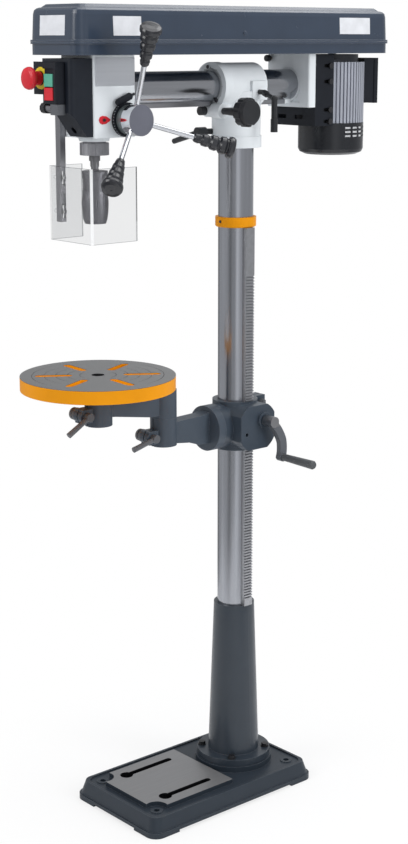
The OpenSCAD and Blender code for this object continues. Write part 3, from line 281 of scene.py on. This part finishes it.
def metal(name, tone, rough=0.28, along="", depth=0.05, spread=0.06):
    """Turned or ground metal. Where an axis is given, the streaks run along it."""
    mat, tree, shader = new_finish(name, Metallic=1.0)
    scale = [0.03 if axis == along else 1 for axis in "XYZ"]
    at = node(tree, "ShaderNodeMapping", Scale=scale, Vector=coords(tree)).outputs["Vector"]
    soft_edges(tree, shader, at, 0.0006, 1400.0, depth)
    wire(tree, shader,
         Base_Color=tinted(tree, at, tone, 120.0, spread),
         Roughness=spread_rough(tree, at, rough - 0.04, rough + 0.08, 260.0))
    return mat


def plastic(name, tone, rough=0.45, grain=1600.0, depth=0.15, edge=0.0008, shine=0.4):
    mat, tree, shader = new_finish(name, IOR=1.46, Specular_IOR_Level=shine)
    at = coords(tree)
    soft_edges(tree, shader, at, edge, grain, depth)
    wire(tree, shader,
         Base_Color=tinted(tree, at, tone, 40.0, 0.08),
         Roughness=spread_rough(tree, at, rough - 0.06, rough + 0.08, 60.0))
    return mat


def table_areas(tree, at, parts):
    """The table's machined top with turning rings, and painted shade in its grooves and bore."""
    flat = node(tree, "ShaderNodeMapping", Location=(0, -TABLE_Y, 0), Scale=(1, 1, 0), Vector=at)
    flat = flat.outputs["Vector"]
    rings = node(tree, "ShaderNodeTexWave", wave_type="RINGS", rings_direction="SPHERICAL",
                 Scale=160.0, Distortion=0.6, Detail=2.0, Vector=flat)
    groove = maths(tree, "COMPARE", parts["Z"], TABLE_TOP_Z + GROOVE_HALF, GROOVE_HALF)
    bore = maths(tree, "LESS_THAN", vector_maths(tree, "LENGTH", flat), TABLE_BORE_R)
    top = maths(tree, "GREATER_THAN", parts["Z"], TABLE_TOP_Z)
    return top, rings.outputs["Fac"], most(tree, [groove, bore])


def base_areas(tree, at, parts):
    """The base's machined pad with straight cutting marks, and painted shade in its slots."""
    flat = node(tree, "ShaderNodeMapping", Scale=(1, 0.05, 0), Vector=at).outputs["Vector"]
    high = maths(tree, "GREATER_THAN", parts["Z"], PAD_Z)
    near = maths(tree, "LESS_THAN", parts["Y"], PAD_END_Y)
    start, end = PAD_SLOT_Y
    slots = [inside(tree, parts, (x - PAD_SLOT_HALF, start, 0.0), (x + PAD_SLOT_HALF, end, PAD_Z))
             for x in (-PAD_SLOT_X, PAD_SLOT_X)]
    return maths(tree, "MULTIPLY", high, near), noise(tree, flat, 300.0, 3.0), most(tree, slots)


def machined_casting(name, areas, skin, cut, cut_rough, painted_shade_tone, rub_and_highlight, shine):
    """Painted casting with a machined area, and painted shade in its recesses."""
    mat, tree, shader = new_finish(name, Coat_Weight=0.03, Coat_Roughness=0.2, Specular_IOR_Level=shine)
    at = coords(tree)
    bevel = soft_edges(tree, shader, at, sizes().edge * 0.6, 900.0, 0.08)
    is_cut, streaks, in_painted_shade = areas(tree, at, split(tree, at))
    # Edge colour: partly paint rubbed thin, partly a painted highlight.
    rubbed_and_highlit_tone = [min(1, c * 1.8 + 0.09) for c in skin]
    painted = rubbed_and_highlit_edges(tree, bevel, tinted(tree, at, skin, 14.0, 0.05), rubbed_and_highlit_tone, rub_and_highlight)
    bare = ramp(tree, streaks, ((0.0, [c * 0.9 for c in cut]), (1.0, [c * 1.1 for c in cut])))
    wire(tree, shader,
         # Recesses take a dark colour as painted shade.
         Base_Color=mixed(tree, in_painted_shade, mixed(tree, is_cut, painted, bare), (*painted_shade_tone, 1)),
         Roughness=fitted(tree, is_cut, 0.40, cut_rough),
         Metallic=fitted(tree, is_cut, 0.0, 0.75))
    return mat


def zoned(name, tone, rough, metallic, zones, grain=900.0, depth=0.06):
    """One piece with several finishes. Each zone is an axis, its span, a colour, roughness and metallic."""
    mat, tree, shader = new_finish(name)
    at = coords(tree)
    soft_edges(tree, shader, at, 0.0008, grain, depth)
    parts = split(tree, at)
    skin = tinted(tree, at, tone, 20.0, 0.05)
    for axis, span, zone_tone, zone_rough, zone_metallic in zones:
        mask = between(tree, parts[axis], *span)
        skin = mixed(tree, mask, skin, tinted(tree, at, zone_tone, 20.0, 0.05))
        rough = fitted(tree, mask, rough, zone_rough)
        metallic = fitted(tree, mask, metallic, zone_metallic)
    wire(tree, shader, Base_Color=skin, Roughness=rough, Metallic=metallic)
    return mat


def clear_sheet(name):
    """Clear folded sheet, with a painted highlight on its bent corner and painted shade along its cut edges."""
    mat, tree, shader = new_finish(name, IOR=1.2, Roughness=0.04)
    at = coords(tree)
    parts = split(tree, at)
    # Cut edges painted grey as shade, bent corner painted near white as a highlight.
    edges = most(tree, [inside(tree, parts, *box) for box in SHEET_EDGE_SHADE_BOXES])
    corner = inside(tree, parts, *SHEET_HIGHLIGHT_BOX)
    skin = mixed(tree, edges, tinted(tree, at, (0.83, 0.835, 0.84), 6.0, 0.015), (0.42, 0.43, 0.44, 1))
    wire(tree, shader,
         Base_Color=mixed(tree, corner, skin, (0.98, 0.98, 0.98, 1)),
         Transmission_Weight=fitted(tree, corner, 1.0, 0.15))
    return mat


FINISH = {}


def make_paints(c):
    return dict(
        # Bracket and arms take lighter copies of the casting paint as painted light, and the base takes a darker
        # copy as painted shade.
        cast=paint("Casting paint", [v * 0.8 for v in c.cast], 0.36, 0.3, rub_and_highlight=0.9),
        bracket=paint("Casting paint lit lighter on bracket", [v * 1.3 for v in c.cast], 0.38, 0.2, rub_and_highlight=0.6),
        arms=paint("Casting paint lit lighter on arms", [v * 1.5 + 0.014 for v in c.cast], 0.42, 0.1, rub_and_highlight=0.6, shine=0.3),
        cover=paint("Cover paint", c.cover, 0.24, 0.5, 500.0, 0.02, edge=0.003, rub_and_highlight=0.8, shine=0.4),
        light=paint("Light paint", c.light, 0.38, 0.2, rub_and_highlight=0.2),
        orange=paint("Orange paint", c.orange, 0.36, 0.05, rub_and_highlight=0.1, shine=0.1),
        grey=paint("Grey steel parts", (0.10, 0.105, 0.115), 0.36, 0.1, edge=0.0008, rub_and_highlight=0.4),
        # The near-black colours given after the machined ones are painted shade in recesses.
        table=machined_casting("Table", table_areas, c.orange, (0.27, 0.27, 0.27), 0.42,
                               (0.02, 0.02, 0.022), rub_and_highlight=0.1, shine=0.14),
        base=machined_casting("Base", base_areas, [v * 0.74 for v in c.cast], (0.30, 0.30, 0.305), 0.46,
                              (0.004, 0.004, 0.005), rub_and_highlight=0.8, shine=0.3),
    )


def make_metals(c):
    eye = (c.light, 0.40, 0.0)
    return dict(
        column=metal("Ground steel column", (0.38, 0.39, 0.42), 0.20, "Z"),
        ram=metal("Ground steel ram", (0.40, 0.41, 0.435), 0.17, "Y"),
        steel=metal("Turned steel", (0.42, 0.42, 0.44), 0.34),
        rack=metal("Rack steel", (0.45, 0.455, 0.475), 0.36),
        dark=metal("Blackened steel", (0.10, 0.10, 0.105), 0.38),
        quill=metal("Quill steel", (0.34, 0.34, 0.36), 0.50),
        nose=metal("Spindle steel", (0.20, 0.20, 0.21), 0.34),
        post=metal("Guard post steel", (0.27, 0.27, 0.285), 0.30, "Z"),
        chuck=metal("Chuck steel", (0.185, 0.185, 0.2), 0.44),
        chrome=metal("Polished chrome", (0.66, 0.67, 0.70), 0.08, depth=0.01),
        pulley=metal("Turned alloy", (0.60, 0.61, 0.63), 0.30),
        plate=metal("Brushed plate", (0.74, 0.76, 0.80), 0.40, "Y", spread=0.03),
        bar=zoned("Toothed bar", (0.42, 0.42, 0.44), 0.34, 1.0, [("Y", span, *eye) for span in BAR_EYES_Y]),
        crank=zoned("Crank", (0.10, 0.107, 0.12), 0.36, 0.0, [("Z", CRANK_HUB_Z, (0.36, 0.36, 0.37), 0.30, 1.0)]),
        hub=zoned("Feed hub", (0.70, 0.71, 0.74), 0.07, 1.0, [
            ("X", HUB_STEM_X, (0.20, 0.23, 0.235), 0.42, 0.6),
            ("X", HUB_FACE_X, (0.155, 0.16, 0.195), 0.40, 0.3)], depth=0.01),
        motor=zoned("Motor", (0.44, 0.46, 0.52), 0.50, 0.45, [
            ("Z", MOTOR_TOP_Z, c.black, 0.42, 0.0),
            ("Y", MOTOR_FOOT_Y, (0.06, 0.06, 0.065), 0.40, 0.8)], grain=600.0),
    )


def make_plastics(c):
    return dict(
        shell=plastic("Cover shell plastic", (0.013, 0.016, 0.023), 0.32, 500.0, 0.02, shine=0.3),
        bolt=plastic("Blackened bolts", (0.010, 0.010, 0.012), 0.35, depth=0.02, shine=0.5),
        fan=plastic("Fan cover plastic", [v * 0.7 for v in c.black], 0.24, 400.0, 0.006, shine=0.6),
        vent=plastic("Light vent screens", (0.75, 0.76, 0.78), 0.5),
        black=plastic("Black cover plastic", c.black, 0.42, shine=0.2),
        knob=plastic("Black knob plastic", (0.022, 0.023, 0.026), 0.34, 900.0, 0.2),
        gloss=plastic("Grip plastic", (0.016, 0.017, 0.021), 0.20, 300.0, 0.05, shine=0.7),
        grip=plastic("Crank grip plastic", (0.085, 0.09, 0.095), 0.36, 300.0, 0.05),
        red=plastic("Red plastic", c.red, 0.32, depth=0.05),
        green=plastic("Green plastic", c.green, 0.34, depth=0.05),
        yellow=plastic("Yellow plastic", c.yellow, 0.36, depth=0.05),
        belt=plastic("Belt rubber", (0.015, 0.015, 0.015), 0.6, 700.0, 0.5),
        label=plastic("Bare label", (0.72, 0.73, 0.76), 0.4, 500.0, 0.03, edge=0.0002),
        mark=plastic("Dark marks", (0.02, 0.02, 0.022), 0.5),
        tick=plastic("Light marks", (0.55, 0.56, 0.58), 0.5),
        clear=clear_sheet("Clear guard sheet"),
    )


def make_finishes():
    for make in (make_paints, make_metals, make_plastics):
        FINISH.update(make(colours()))


def dress(finish, *nodes):
    """Gives CAD nodes a finish."""
    for name in nodes:
        o = NODES[name]
        if not o.material_slots:
            o.data.materials.append(FINISH[finish])
        for s in o.material_slots:
            s.material = FINISH[finish]


# ---------------------------------------------------------------- shapes

def moved(x, y, z):
    return Matrix.Translation(Vector((x, y, z)) * MM)


def spun(degrees, axis):
    return Matrix.Rotation(math.radians(degrees), 4, axis)


LAY = {"X": spun(90, "Y"), "Y": spun(-90, "X")}


def spot(x, y, z, axis, flip=False):
    """Place in mm whose local Z points along an axis, or against it where flipped."""
    m = moved(x, y, z) @ LAY[axis]
    return m @ spun(180, "X") if flip else m


def turn_into(bm, profile, place, steps=48):
    """Adds a turned solid: profile is (radius, height) pairs in mm along the local Z of place."""
    turns = [2 * math.pi * i / steps for i in range(steps)]
    rings = []
    for r, h in profile:
        around = [(r * MM * math.cos(a), r * MM * math.sin(a), h * MM) for a in turns] if r else [(0, 0, h * MM)]
        rings.append([bm.verts.new(place @ Vector(v)) for v in around])
    for a, b in zip(rings, rings[1:]):
        for i in range(steps):
            j = (i + 1) % steps
            if len(a) == 1:
                bm.faces.new((a[0], b[j], b[i]))
            elif len(b) == 1:
                bm.faces.new((a[i], a[j], b[0]))
            else:
                bm.faces.new((a[i], a[j], b[j], b[i]))
    for ring in (rings[0], rings[-1]):
        if len(ring) > 1:
            bm.faces.new(ring)


def box_into(bm, lo, hi, place=Matrix.Identity(4)):
    """Adds a box between two corners in mm, in the local frame of place."""
    xs, ys, zs = zip(lo, hi)
    v = [bm.verts.new(place @ (Vector((x, y, z)) * MM)) for x in xs for y in ys for z in zs]
    for f in ((0, 1, 3, 2), (4, 6, 7, 5), (0, 4, 5, 1), (2, 3, 7, 6), (0, 2, 6, 4), (1, 5, 7, 3)):
        bm.faces.new([v[i] for i in f])


def keep(name, bm, finish, body, smooth=True):
    """Turns a bmesh into a piece that rides on a body and takes its finish."""
    bmesh.ops.recalc_face_normals(bm, faces=bm.faces)
    mesh = bpy.data.meshes.new(name)
    bm.to_mesh(mesh)
    bm.free()
    o = bpy.data.objects.new(name, mesh)
    bpy.context.scene.collection.objects.link(o)
    mesh.materials.append(FINISH[finish])
    if smooth:
        for p in mesh.polygons:
            p.use_smooth = True
        mesh.set_sharp_from_angle(angle=math.radians(35))
    bpy.context.view_layer.update()
    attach(o, body)
    return o


def soften(o, width):
    m = o.modifiers.new("Edges", "BEVEL")
    m.width = width * MM
    m.segments = 2
    m.limit_method = "ANGLE"
    m.angle_limit = math.radians(40)


def turned(name, profile, place, finish, body, steps=48):
    bm = bmesh.new()
    turn_into(bm, profile, place, steps)
    keep(name, bm, finish, body)


def socket_screws(name, places, r, body):
    """Socket head screws: a cheese head with a six-sided well."""
    bm = bmesh.new()
    for place in places:
        turn_into(bm, [(r, -0.5), (r, 0.75 * r), (0.86 * r, 0.95 * r), (0.52 * r, 0.95 * r)], place, 24)
        turn_into(bm, [(0.52 * r, 0.95 * r), (0.5 * r, 0.35 * r), (0, 0.35 * r)], place, 6)
    keep(name, bm, "dark", body)


# ---------------------------------------------------------------- studio

def unlit_rays(tree):
    """The kinds of ray, and a mask of those that see plain white: from the camera and through clear sheet."""
    rays = node(tree, "ShaderNodeLightPath").outputs
    return rays, maths(tree, "MAXIMUM", rays["Is Camera Ray"], rays["Is Transmission Ray"])


def mixed_shader(tree, factor, a, b):
    n = node(tree, "ShaderNodeMixShader", Fac=factor)
    tree.links.new(a, n.inputs[1])
    tree.links.new(b, n.inputs[2])
    return n.outputs["Shader"]


def make_world(scene):
    """Soft white room. Polished metal mirrors a few upright bands of it."""
    scene.world = bpy.data.worlds.new("Studio")
    scene.world.use_nodes = True
    tree = scene.world.node_tree
    soft = tree.nodes["Background"]
    wire(tree, soft, Color=(0.95, 0.97, 1.0, 1), Strength=0.60)
    white = node(tree, "ShaderNodeBackground", Color=(1, 1, 1, 1))
    rays, shown = unlit_rays(tree)
    sky = node(tree, "ShaderNodeTexCoord").outputs["Generated"]
    along = vector_maths(tree, "DOT_PRODUCT", sky, BANDS_ALONG)
    across = fitted(tree, along, 0.0, 1.0, From_Min=-1.0)
    bands = ramp(tree, across, [(at, [level * c for c in BAND_TINT]) for at, level in BANDS])
    glossy = node(tree, "ShaderNodeBackground", Color=bands)
    lit = mixed_shader(tree, rays["Is Glossy Ray"], soft.outputs["Background"], glossy.outputs["Background"])
    wire(tree, tree.nodes["World Output"], Surface=mixed_shader(tree, shown, lit, white.outputs["Background"]))


def make_floor(scene):
    """Pale floor that keeps its shadow near the base and fades to white."""
    h = FLOOR_HALF
    mesh = bpy.data.meshes.new("Floor")
    mesh.from_pydata([(-h, -h, 0), (h, -h, 0), (h, h, 0), (-h, h, 0)], [], [(0, 1, 2, 3)])
    floor = bpy.data.objects.new("Floor", mesh)
    scene.collection.objects.link(floor)
    floor.location.z = FLOOR_Z
    mat, tree, shader = new_finish("Floor", Base_Color=(0.9, 0.9, 0.9, 1), Roughness=0.9, Specular_IOR_Level=0.0)
    glow = node(tree, "ShaderNodeEmission", Strength=1.0).outputs["Emission"]
    shown = unlit_rays(tree)[1]
    reach = vector_maths(tree, "LENGTH", coords(tree))
    fade = fitted(tree, reach, 0.72, 1.0, interpolation_type="SMOOTHSTEP", From_Min=0.22, From_Max=0.62)
    share = maths(tree, "MULTIPLY", shown, fade)
    wire(tree, tree.nodes["Material Output"], Surface=mixed_shader(tree, share, shader.outputs["BSDF"], glow))
    mesh.materials.append(mat)


def make_lamp(scene, name, at, aim, width, height, power, mirrored):
    data = bpy.data.lights.new(name, "AREA")
    data.shape = "RECTANGLE"
    data.size = width
    data.size_y = height
    data.energy = power
    o = bpy.data.objects.new(name, data)
    o.location = at
    o.rotation_euler = (Vector(aim) - Vector(at)).to_track_quat("-Z", "Y").to_euler()
    o.visible_glossy = mirrored
    scene.collection.objects.link(o)


def make_camera(scene):
    data = bpy.data.cameras.new("Camera")
    data.sensor_width = SENSOR
    data.lens = LENS
    camera = bpy.data.objects.new("Camera", data)
    camera.location = CAMERA_AT
    camera.rotation_euler = (math.radians(90 - CAMERA_DOWN), 0, math.radians(CAMERA_TURN))
    scene.collection.objects.link(camera)
    scene.camera = camera


# ---------------------------------------------------------------- pieces

class DrillOperator:
    """Dresses a group's CAD nodes, then adds the group's own pieces."""
    bl_options = {"REGISTER", "UNDO"}
    finishes = {}

    def execute(self, context):
        for finish, names in self.finishes.items():
            dress(finish, *names.split())
        self.add(context)
        return {"FINISHED"}

    def add(self, context):
        pass


class DRILL_OT_stage(DrillOperator, bpy.types.Operator):
    """Pale floor, soft studio light and the camera"""
    bl_idname = "drill.stage"
    bl_label = "Stage"

    def add(self, context):
        context.scene.view_settings.view_transform = "Standard"
        make_world(context.scene)
        make_floor(context.scene)
        for values in LAMPS:
            make_lamp(context.scene, *values)
        make_camera(context.scene)


class DRILL_OT_base(DrillOperator, bpy.types.Operator):
    """Base casting, column foot and its bolts"""
    bl_idname = "drill.base"
    bl_label = "Base and column foot"
    finishes = {"base": "base", "cast": "column_support", "bolt": "support_bolts"}


class DRILL_OT_column(DrillOperator, bpy.types.Operator):
    """Column, rack and rack ring"""
    bl_idname = "drill.column"
    bl_label = "Column and rack"
    finishes = {"column": "column_tube", "rack": "column_rack", "orange": "rack_ring"}

    def add(self, context):
        socket_screws("rack_ring_screw", [spot(*RING_SCREW, "Y", True)], 2.8, "base")


class DRILL_OT_table_support(DrillOperator, bpy.types.Operator):
    """Lifting bracket, both arms, their clamps and the crank"""
    bl_idname = "drill.table_support"
    bl_label = "Table support"
    finishes = {
        "bracket": "table_bracket", "arms": "tilt_arm swing_arm", "grey": "bracket_clamp arm_clamp table_clamp",
        "crank": "crank_arm", "steel": "lift_gear crank_shaft", "grip": "crank_grip",
    }


class DRILL_OT_table(DrillOperator, bpy.types.Operator):
    """Round table with its machined top"""
    bl_idname = "drill.table"
    bl_label = "Table"
    finishes = {"table": "table"}


class DRILL_OT_turret(DrillOperator, bpy.types.Operator):
    """Turret, ram and their levers and knobs"""
    bl_idname = "drill.turret"
    bl_label = "Turret and ram"
    finishes = {
        "light": "turret", "ram": "ram_tube", "bar": "ram_rack", "steel": "traverse_shaft",
        "knob": "turret_clamp ram_clamp stop_knob traverse_knob",
    }

    def add(self, context):
        bm = bmesh.new()
        half = sizes().tick / MM
        for i in range(60):
            top = 38.0 if i % 5 == 0 else 36.0
            box_into(bm, (-half, -0.15, 31.6), (half, 0.3, top), moved(0, TURRET_FACE_Y, RAM_Z) @ spun(6 * i, "Y"))
        keep("turret_scale", bm, "mark", "turret", smooth=False)
        socket_screws("turret_screws", [spot(*at, "Y", True) for at in TURRET_SCREWS], 3.6, "turret")


class DRILL_OT_head(DrillOperator, bpy.types.Operator):
    """Head casting with its plate and depth pointer"""
    bl_idname = "drill.head"
    bl_label = "Head"
    finishes = {"light": "head_casting", "black": "spring_housing", "shell": "front_cover"}

    def add(self, context):
        t = sizes().plate / MM
        bm = bmesh.new()
        box_into(bm, (HEAD_SIDE_X - 0.1, PLATE_Y[0], PLATE_Z[0]), (HEAD_SIDE_X + t, PLATE_Y[1], PLATE_Z[1]))
        for y in (PLATE_Y[0] + 3, PLATE_Y[1] - 3):
            for z in (PLATE_Z[0] + 3, PLATE_Z[1] - 3):
                rivet = [(1.3, t), (1.3, t + 0.3), (0.7, t + 0.8), (0, t + 0.9)]
                turn_into(bm, rivet, spot(HEAD_SIDE_X, y, z, "X"), 16)
        soften(keep("rating_plate", bm, "plate", "arm"), 0.15)
        bm = bmesh.new()
        outline = (
            (-279, 1455.5), (-276.5, 1461), (-271, 1463.5), (-262, 1462.5), (-252, 1456.5),
            (-252, 1454.5), (-262, 1448.5), (-271, 1447.5), (-276.5, 1450),
        )
        back, front = ([bm.verts.new(Vector((x, y, z)) * MM) for y, z in outline] for x in POINTER_X)
        for i in range(len(outline)):
            j = (i + 1) % len(outline)
            bm.faces.new((back[i], back[j], front[j], front[i]))
        bm.faces.new(back)
        bm.faces.new(front)
        soften(keep("depth_pointer", bm, "red", "arm"), 0.5)
        socket_screws("pointer_screw", [spot(*POINTER_SCREW, "X")], 3.0, "arm")


class DRILL_OT_switches(DrillOperator, bpy.types.Operator):
    """Switch, its buttons and the emergency stop"""
    bl_idname = "drill.switches"
    bl_label = "Switches"
    finishes = {"black": "switch_body estop_base", "green": "start_button", "red": "stop_button estop_button"}

    def add(self, context):
        profile = [(13.5, 0), (20.3, 0), (20.5, 0.8), (20.2, 2.2), (13.5, 2.4), (13.5, 0)]
        turned("estop_ring", profile, spot(*ESTOP_RING, "Y", True), "yellow", "arm")


class DRILL_OT_guard(DrillOperator, bpy.types.Operator):
    """Guard post, knob and clear sheet"""
    bl_idname = "drill.guard"
    bl_label = "Guard"
    finishes = {"grey": "guard_pivot", "post": "guard_post", "knob": "guard_knob", "clear": "guard_shield"}


class DRILL_OT_spindle(DrillOperator, bpy.types.Operator):
    """Quill, spindle and chuck"""
    bl_idname = "drill.spindle"
    bl_label = "Spindle and chuck"
    finishes = {
        "quill": "quill", "nose": "spindle", "steel": "jaw_a jaw_b jaw_c", "chuck": "chuck_body chuck_sleeve",
    }


class DRILL_OT_feed(DrillOperator, bpy.types.Operator):
    """Feed hub, spokes, grips and depth ring"""
    bl_idname = "drill.feed"
    bl_label = "Feed handle"
    finishes = {
        "steel": "feed_shaft", "hub": "feed_hub", "chrome": "feed_spokes", "gloss": "feed_grips",
        "black": "depth_ring",
    }

    def add(self, context):
        bm = bmesh.new()
        half = sizes().tick / MM / 2
        for i in range(36):
            back = DEPTH_RING_X - (3.2 if i % 3 else 5.4)
            place = moved(0, FEED_Y, FEED_Z) @ spun(10 * i, "X")
            box_into(bm, (back, -half, 31.7), (DEPTH_RING_X, half, 32.15), place)
        keep("depth_ring_marks", bm, "tick", "depth_ring", smooth=False)


class DRILL_OT_drive(DrillOperator, bpy.types.Operator):
    """Pulleys, belt, motor and its mount"""
    bl_idname = "drill.drive"
    bl_label = "Belt drive and motor"
    finishes = {
        "pulley": "spindle_pulley motor_pulley", "belt": "drive_belt", "light": "motor_bracket",
        "black": "motor_plate terminal_box", "fan": "fan_cover", "motor": "motor_body", "steel": "motor_rotor",
    }

    def add(self, context):
        bm = bmesh.new()
        for angle in VENT_ANGLES:
            box_into(bm, (66.8, -7.9, 1400), (67.6, 7.9, 1423), moved(0, MOTOR_Y, 0) @ spun(angle, "Z"))
        keep("vent_screens", bm, "vent", "motor", smooth=False)
        profile = [(0, -2), (3, -2), (3, 4), (6.5, 4.5), (7, 6), (7, 13), (6, 15), (0, 15.3)]
        turned("bracket_knob", profile, spot(*BRACKET_KNOB, "Y", True), "knob", "arm", 24)


class DRILL_OT_cover(DrillOperator, bpy.types.Operator):
    """Belt cover tray and lid with its bare labels"""
    bl_idname = "drill.cover"
    bl_label = "Belt cover"
    finishes = {"cover": "cover_tray cover_lid"}

    def add(self, context):
        t = sizes().label / MM
        for name, at, turn, w, h in (
            ("lid_label_front", (0, -346, 1627.5), 0, 78, 36),
            ("lid_label_side", (80, -231, 1626.5), 90, 66, 35),
            ("lid_label_rear", (80, 372, 1629.5), 90, 90, 33),
        ):
            inward = (at[2] - LID_FOOT_Z) * math.tan(LID_LEAN)
            tilt = Matrix.Rotation(-LID_LEAN, 4, "X")
            bm = bmesh.new()
            box_into(bm, (-w / 2, -t, -h / 2), (w / 2, 0.3, h / 2),
                     moved(*at) @ spun(turn, "Z") @ moved(0, inward, 0) @ tilt)
            keep(name, bm, "label", "lid", smooth=False)


class DRILL_PT_panel(bpy.types.Panel):
    """Lists the drill's settings and pieces"""
    bl_idname = "DRILL_PT_panel"
    bl_label = "Radial arm drill"
    bl_space_type = "VIEW_3D"
    bl_region_type = "UI"
    bl_category = "Drill"

    def draw(self, context):
        for group in (context.scene.drill_sizes, context.scene.drill_colours):
            for key in group.__annotations__:
                self.layout.prop(group, key)
        for op in OPERATORS:
            self.layout.operator(op.bl_idname)


OPERATORS = (
    DRILL_OT_stage, DRILL_OT_base, DRILL_OT_column, DRILL_OT_table_support, DRILL_OT_table, DRILL_OT_turret,
    DRILL_OT_head, DRILL_OT_switches, DRILL_OT_guard, DRILL_OT_spindle, DRILL_OT_feed, DRILL_OT_drive,
    DRILL_OT_cover,
)
CLASSES = (DrillSizes, DrillColours) + OPERATORS + (DRILL_PT_panel,)


def register():
    for c in CLASSES:
        bpy.utils.register_class(c)
    bpy.types.Scene.drill_sizes = bpy.props.PointerProperty(type=DrillSizes)
    bpy.types.Scene.drill_colours = bpy.props.PointerProperty(type=DrillColours)


def unregister():
    del bpy.types.Scene.drill_colours
    del bpy.types.Scene.drill_sizes
    for c in reversed(CLASSES):
        bpy.utils.unregister_class(c)


def main():
    register()
    make_finishes()
    for op in OPERATORS:
        group, name = op.bl_idname.split(".")
        getattr(getattr(bpy.ops, group), name)()


if __name__ == "__main__":
    main()
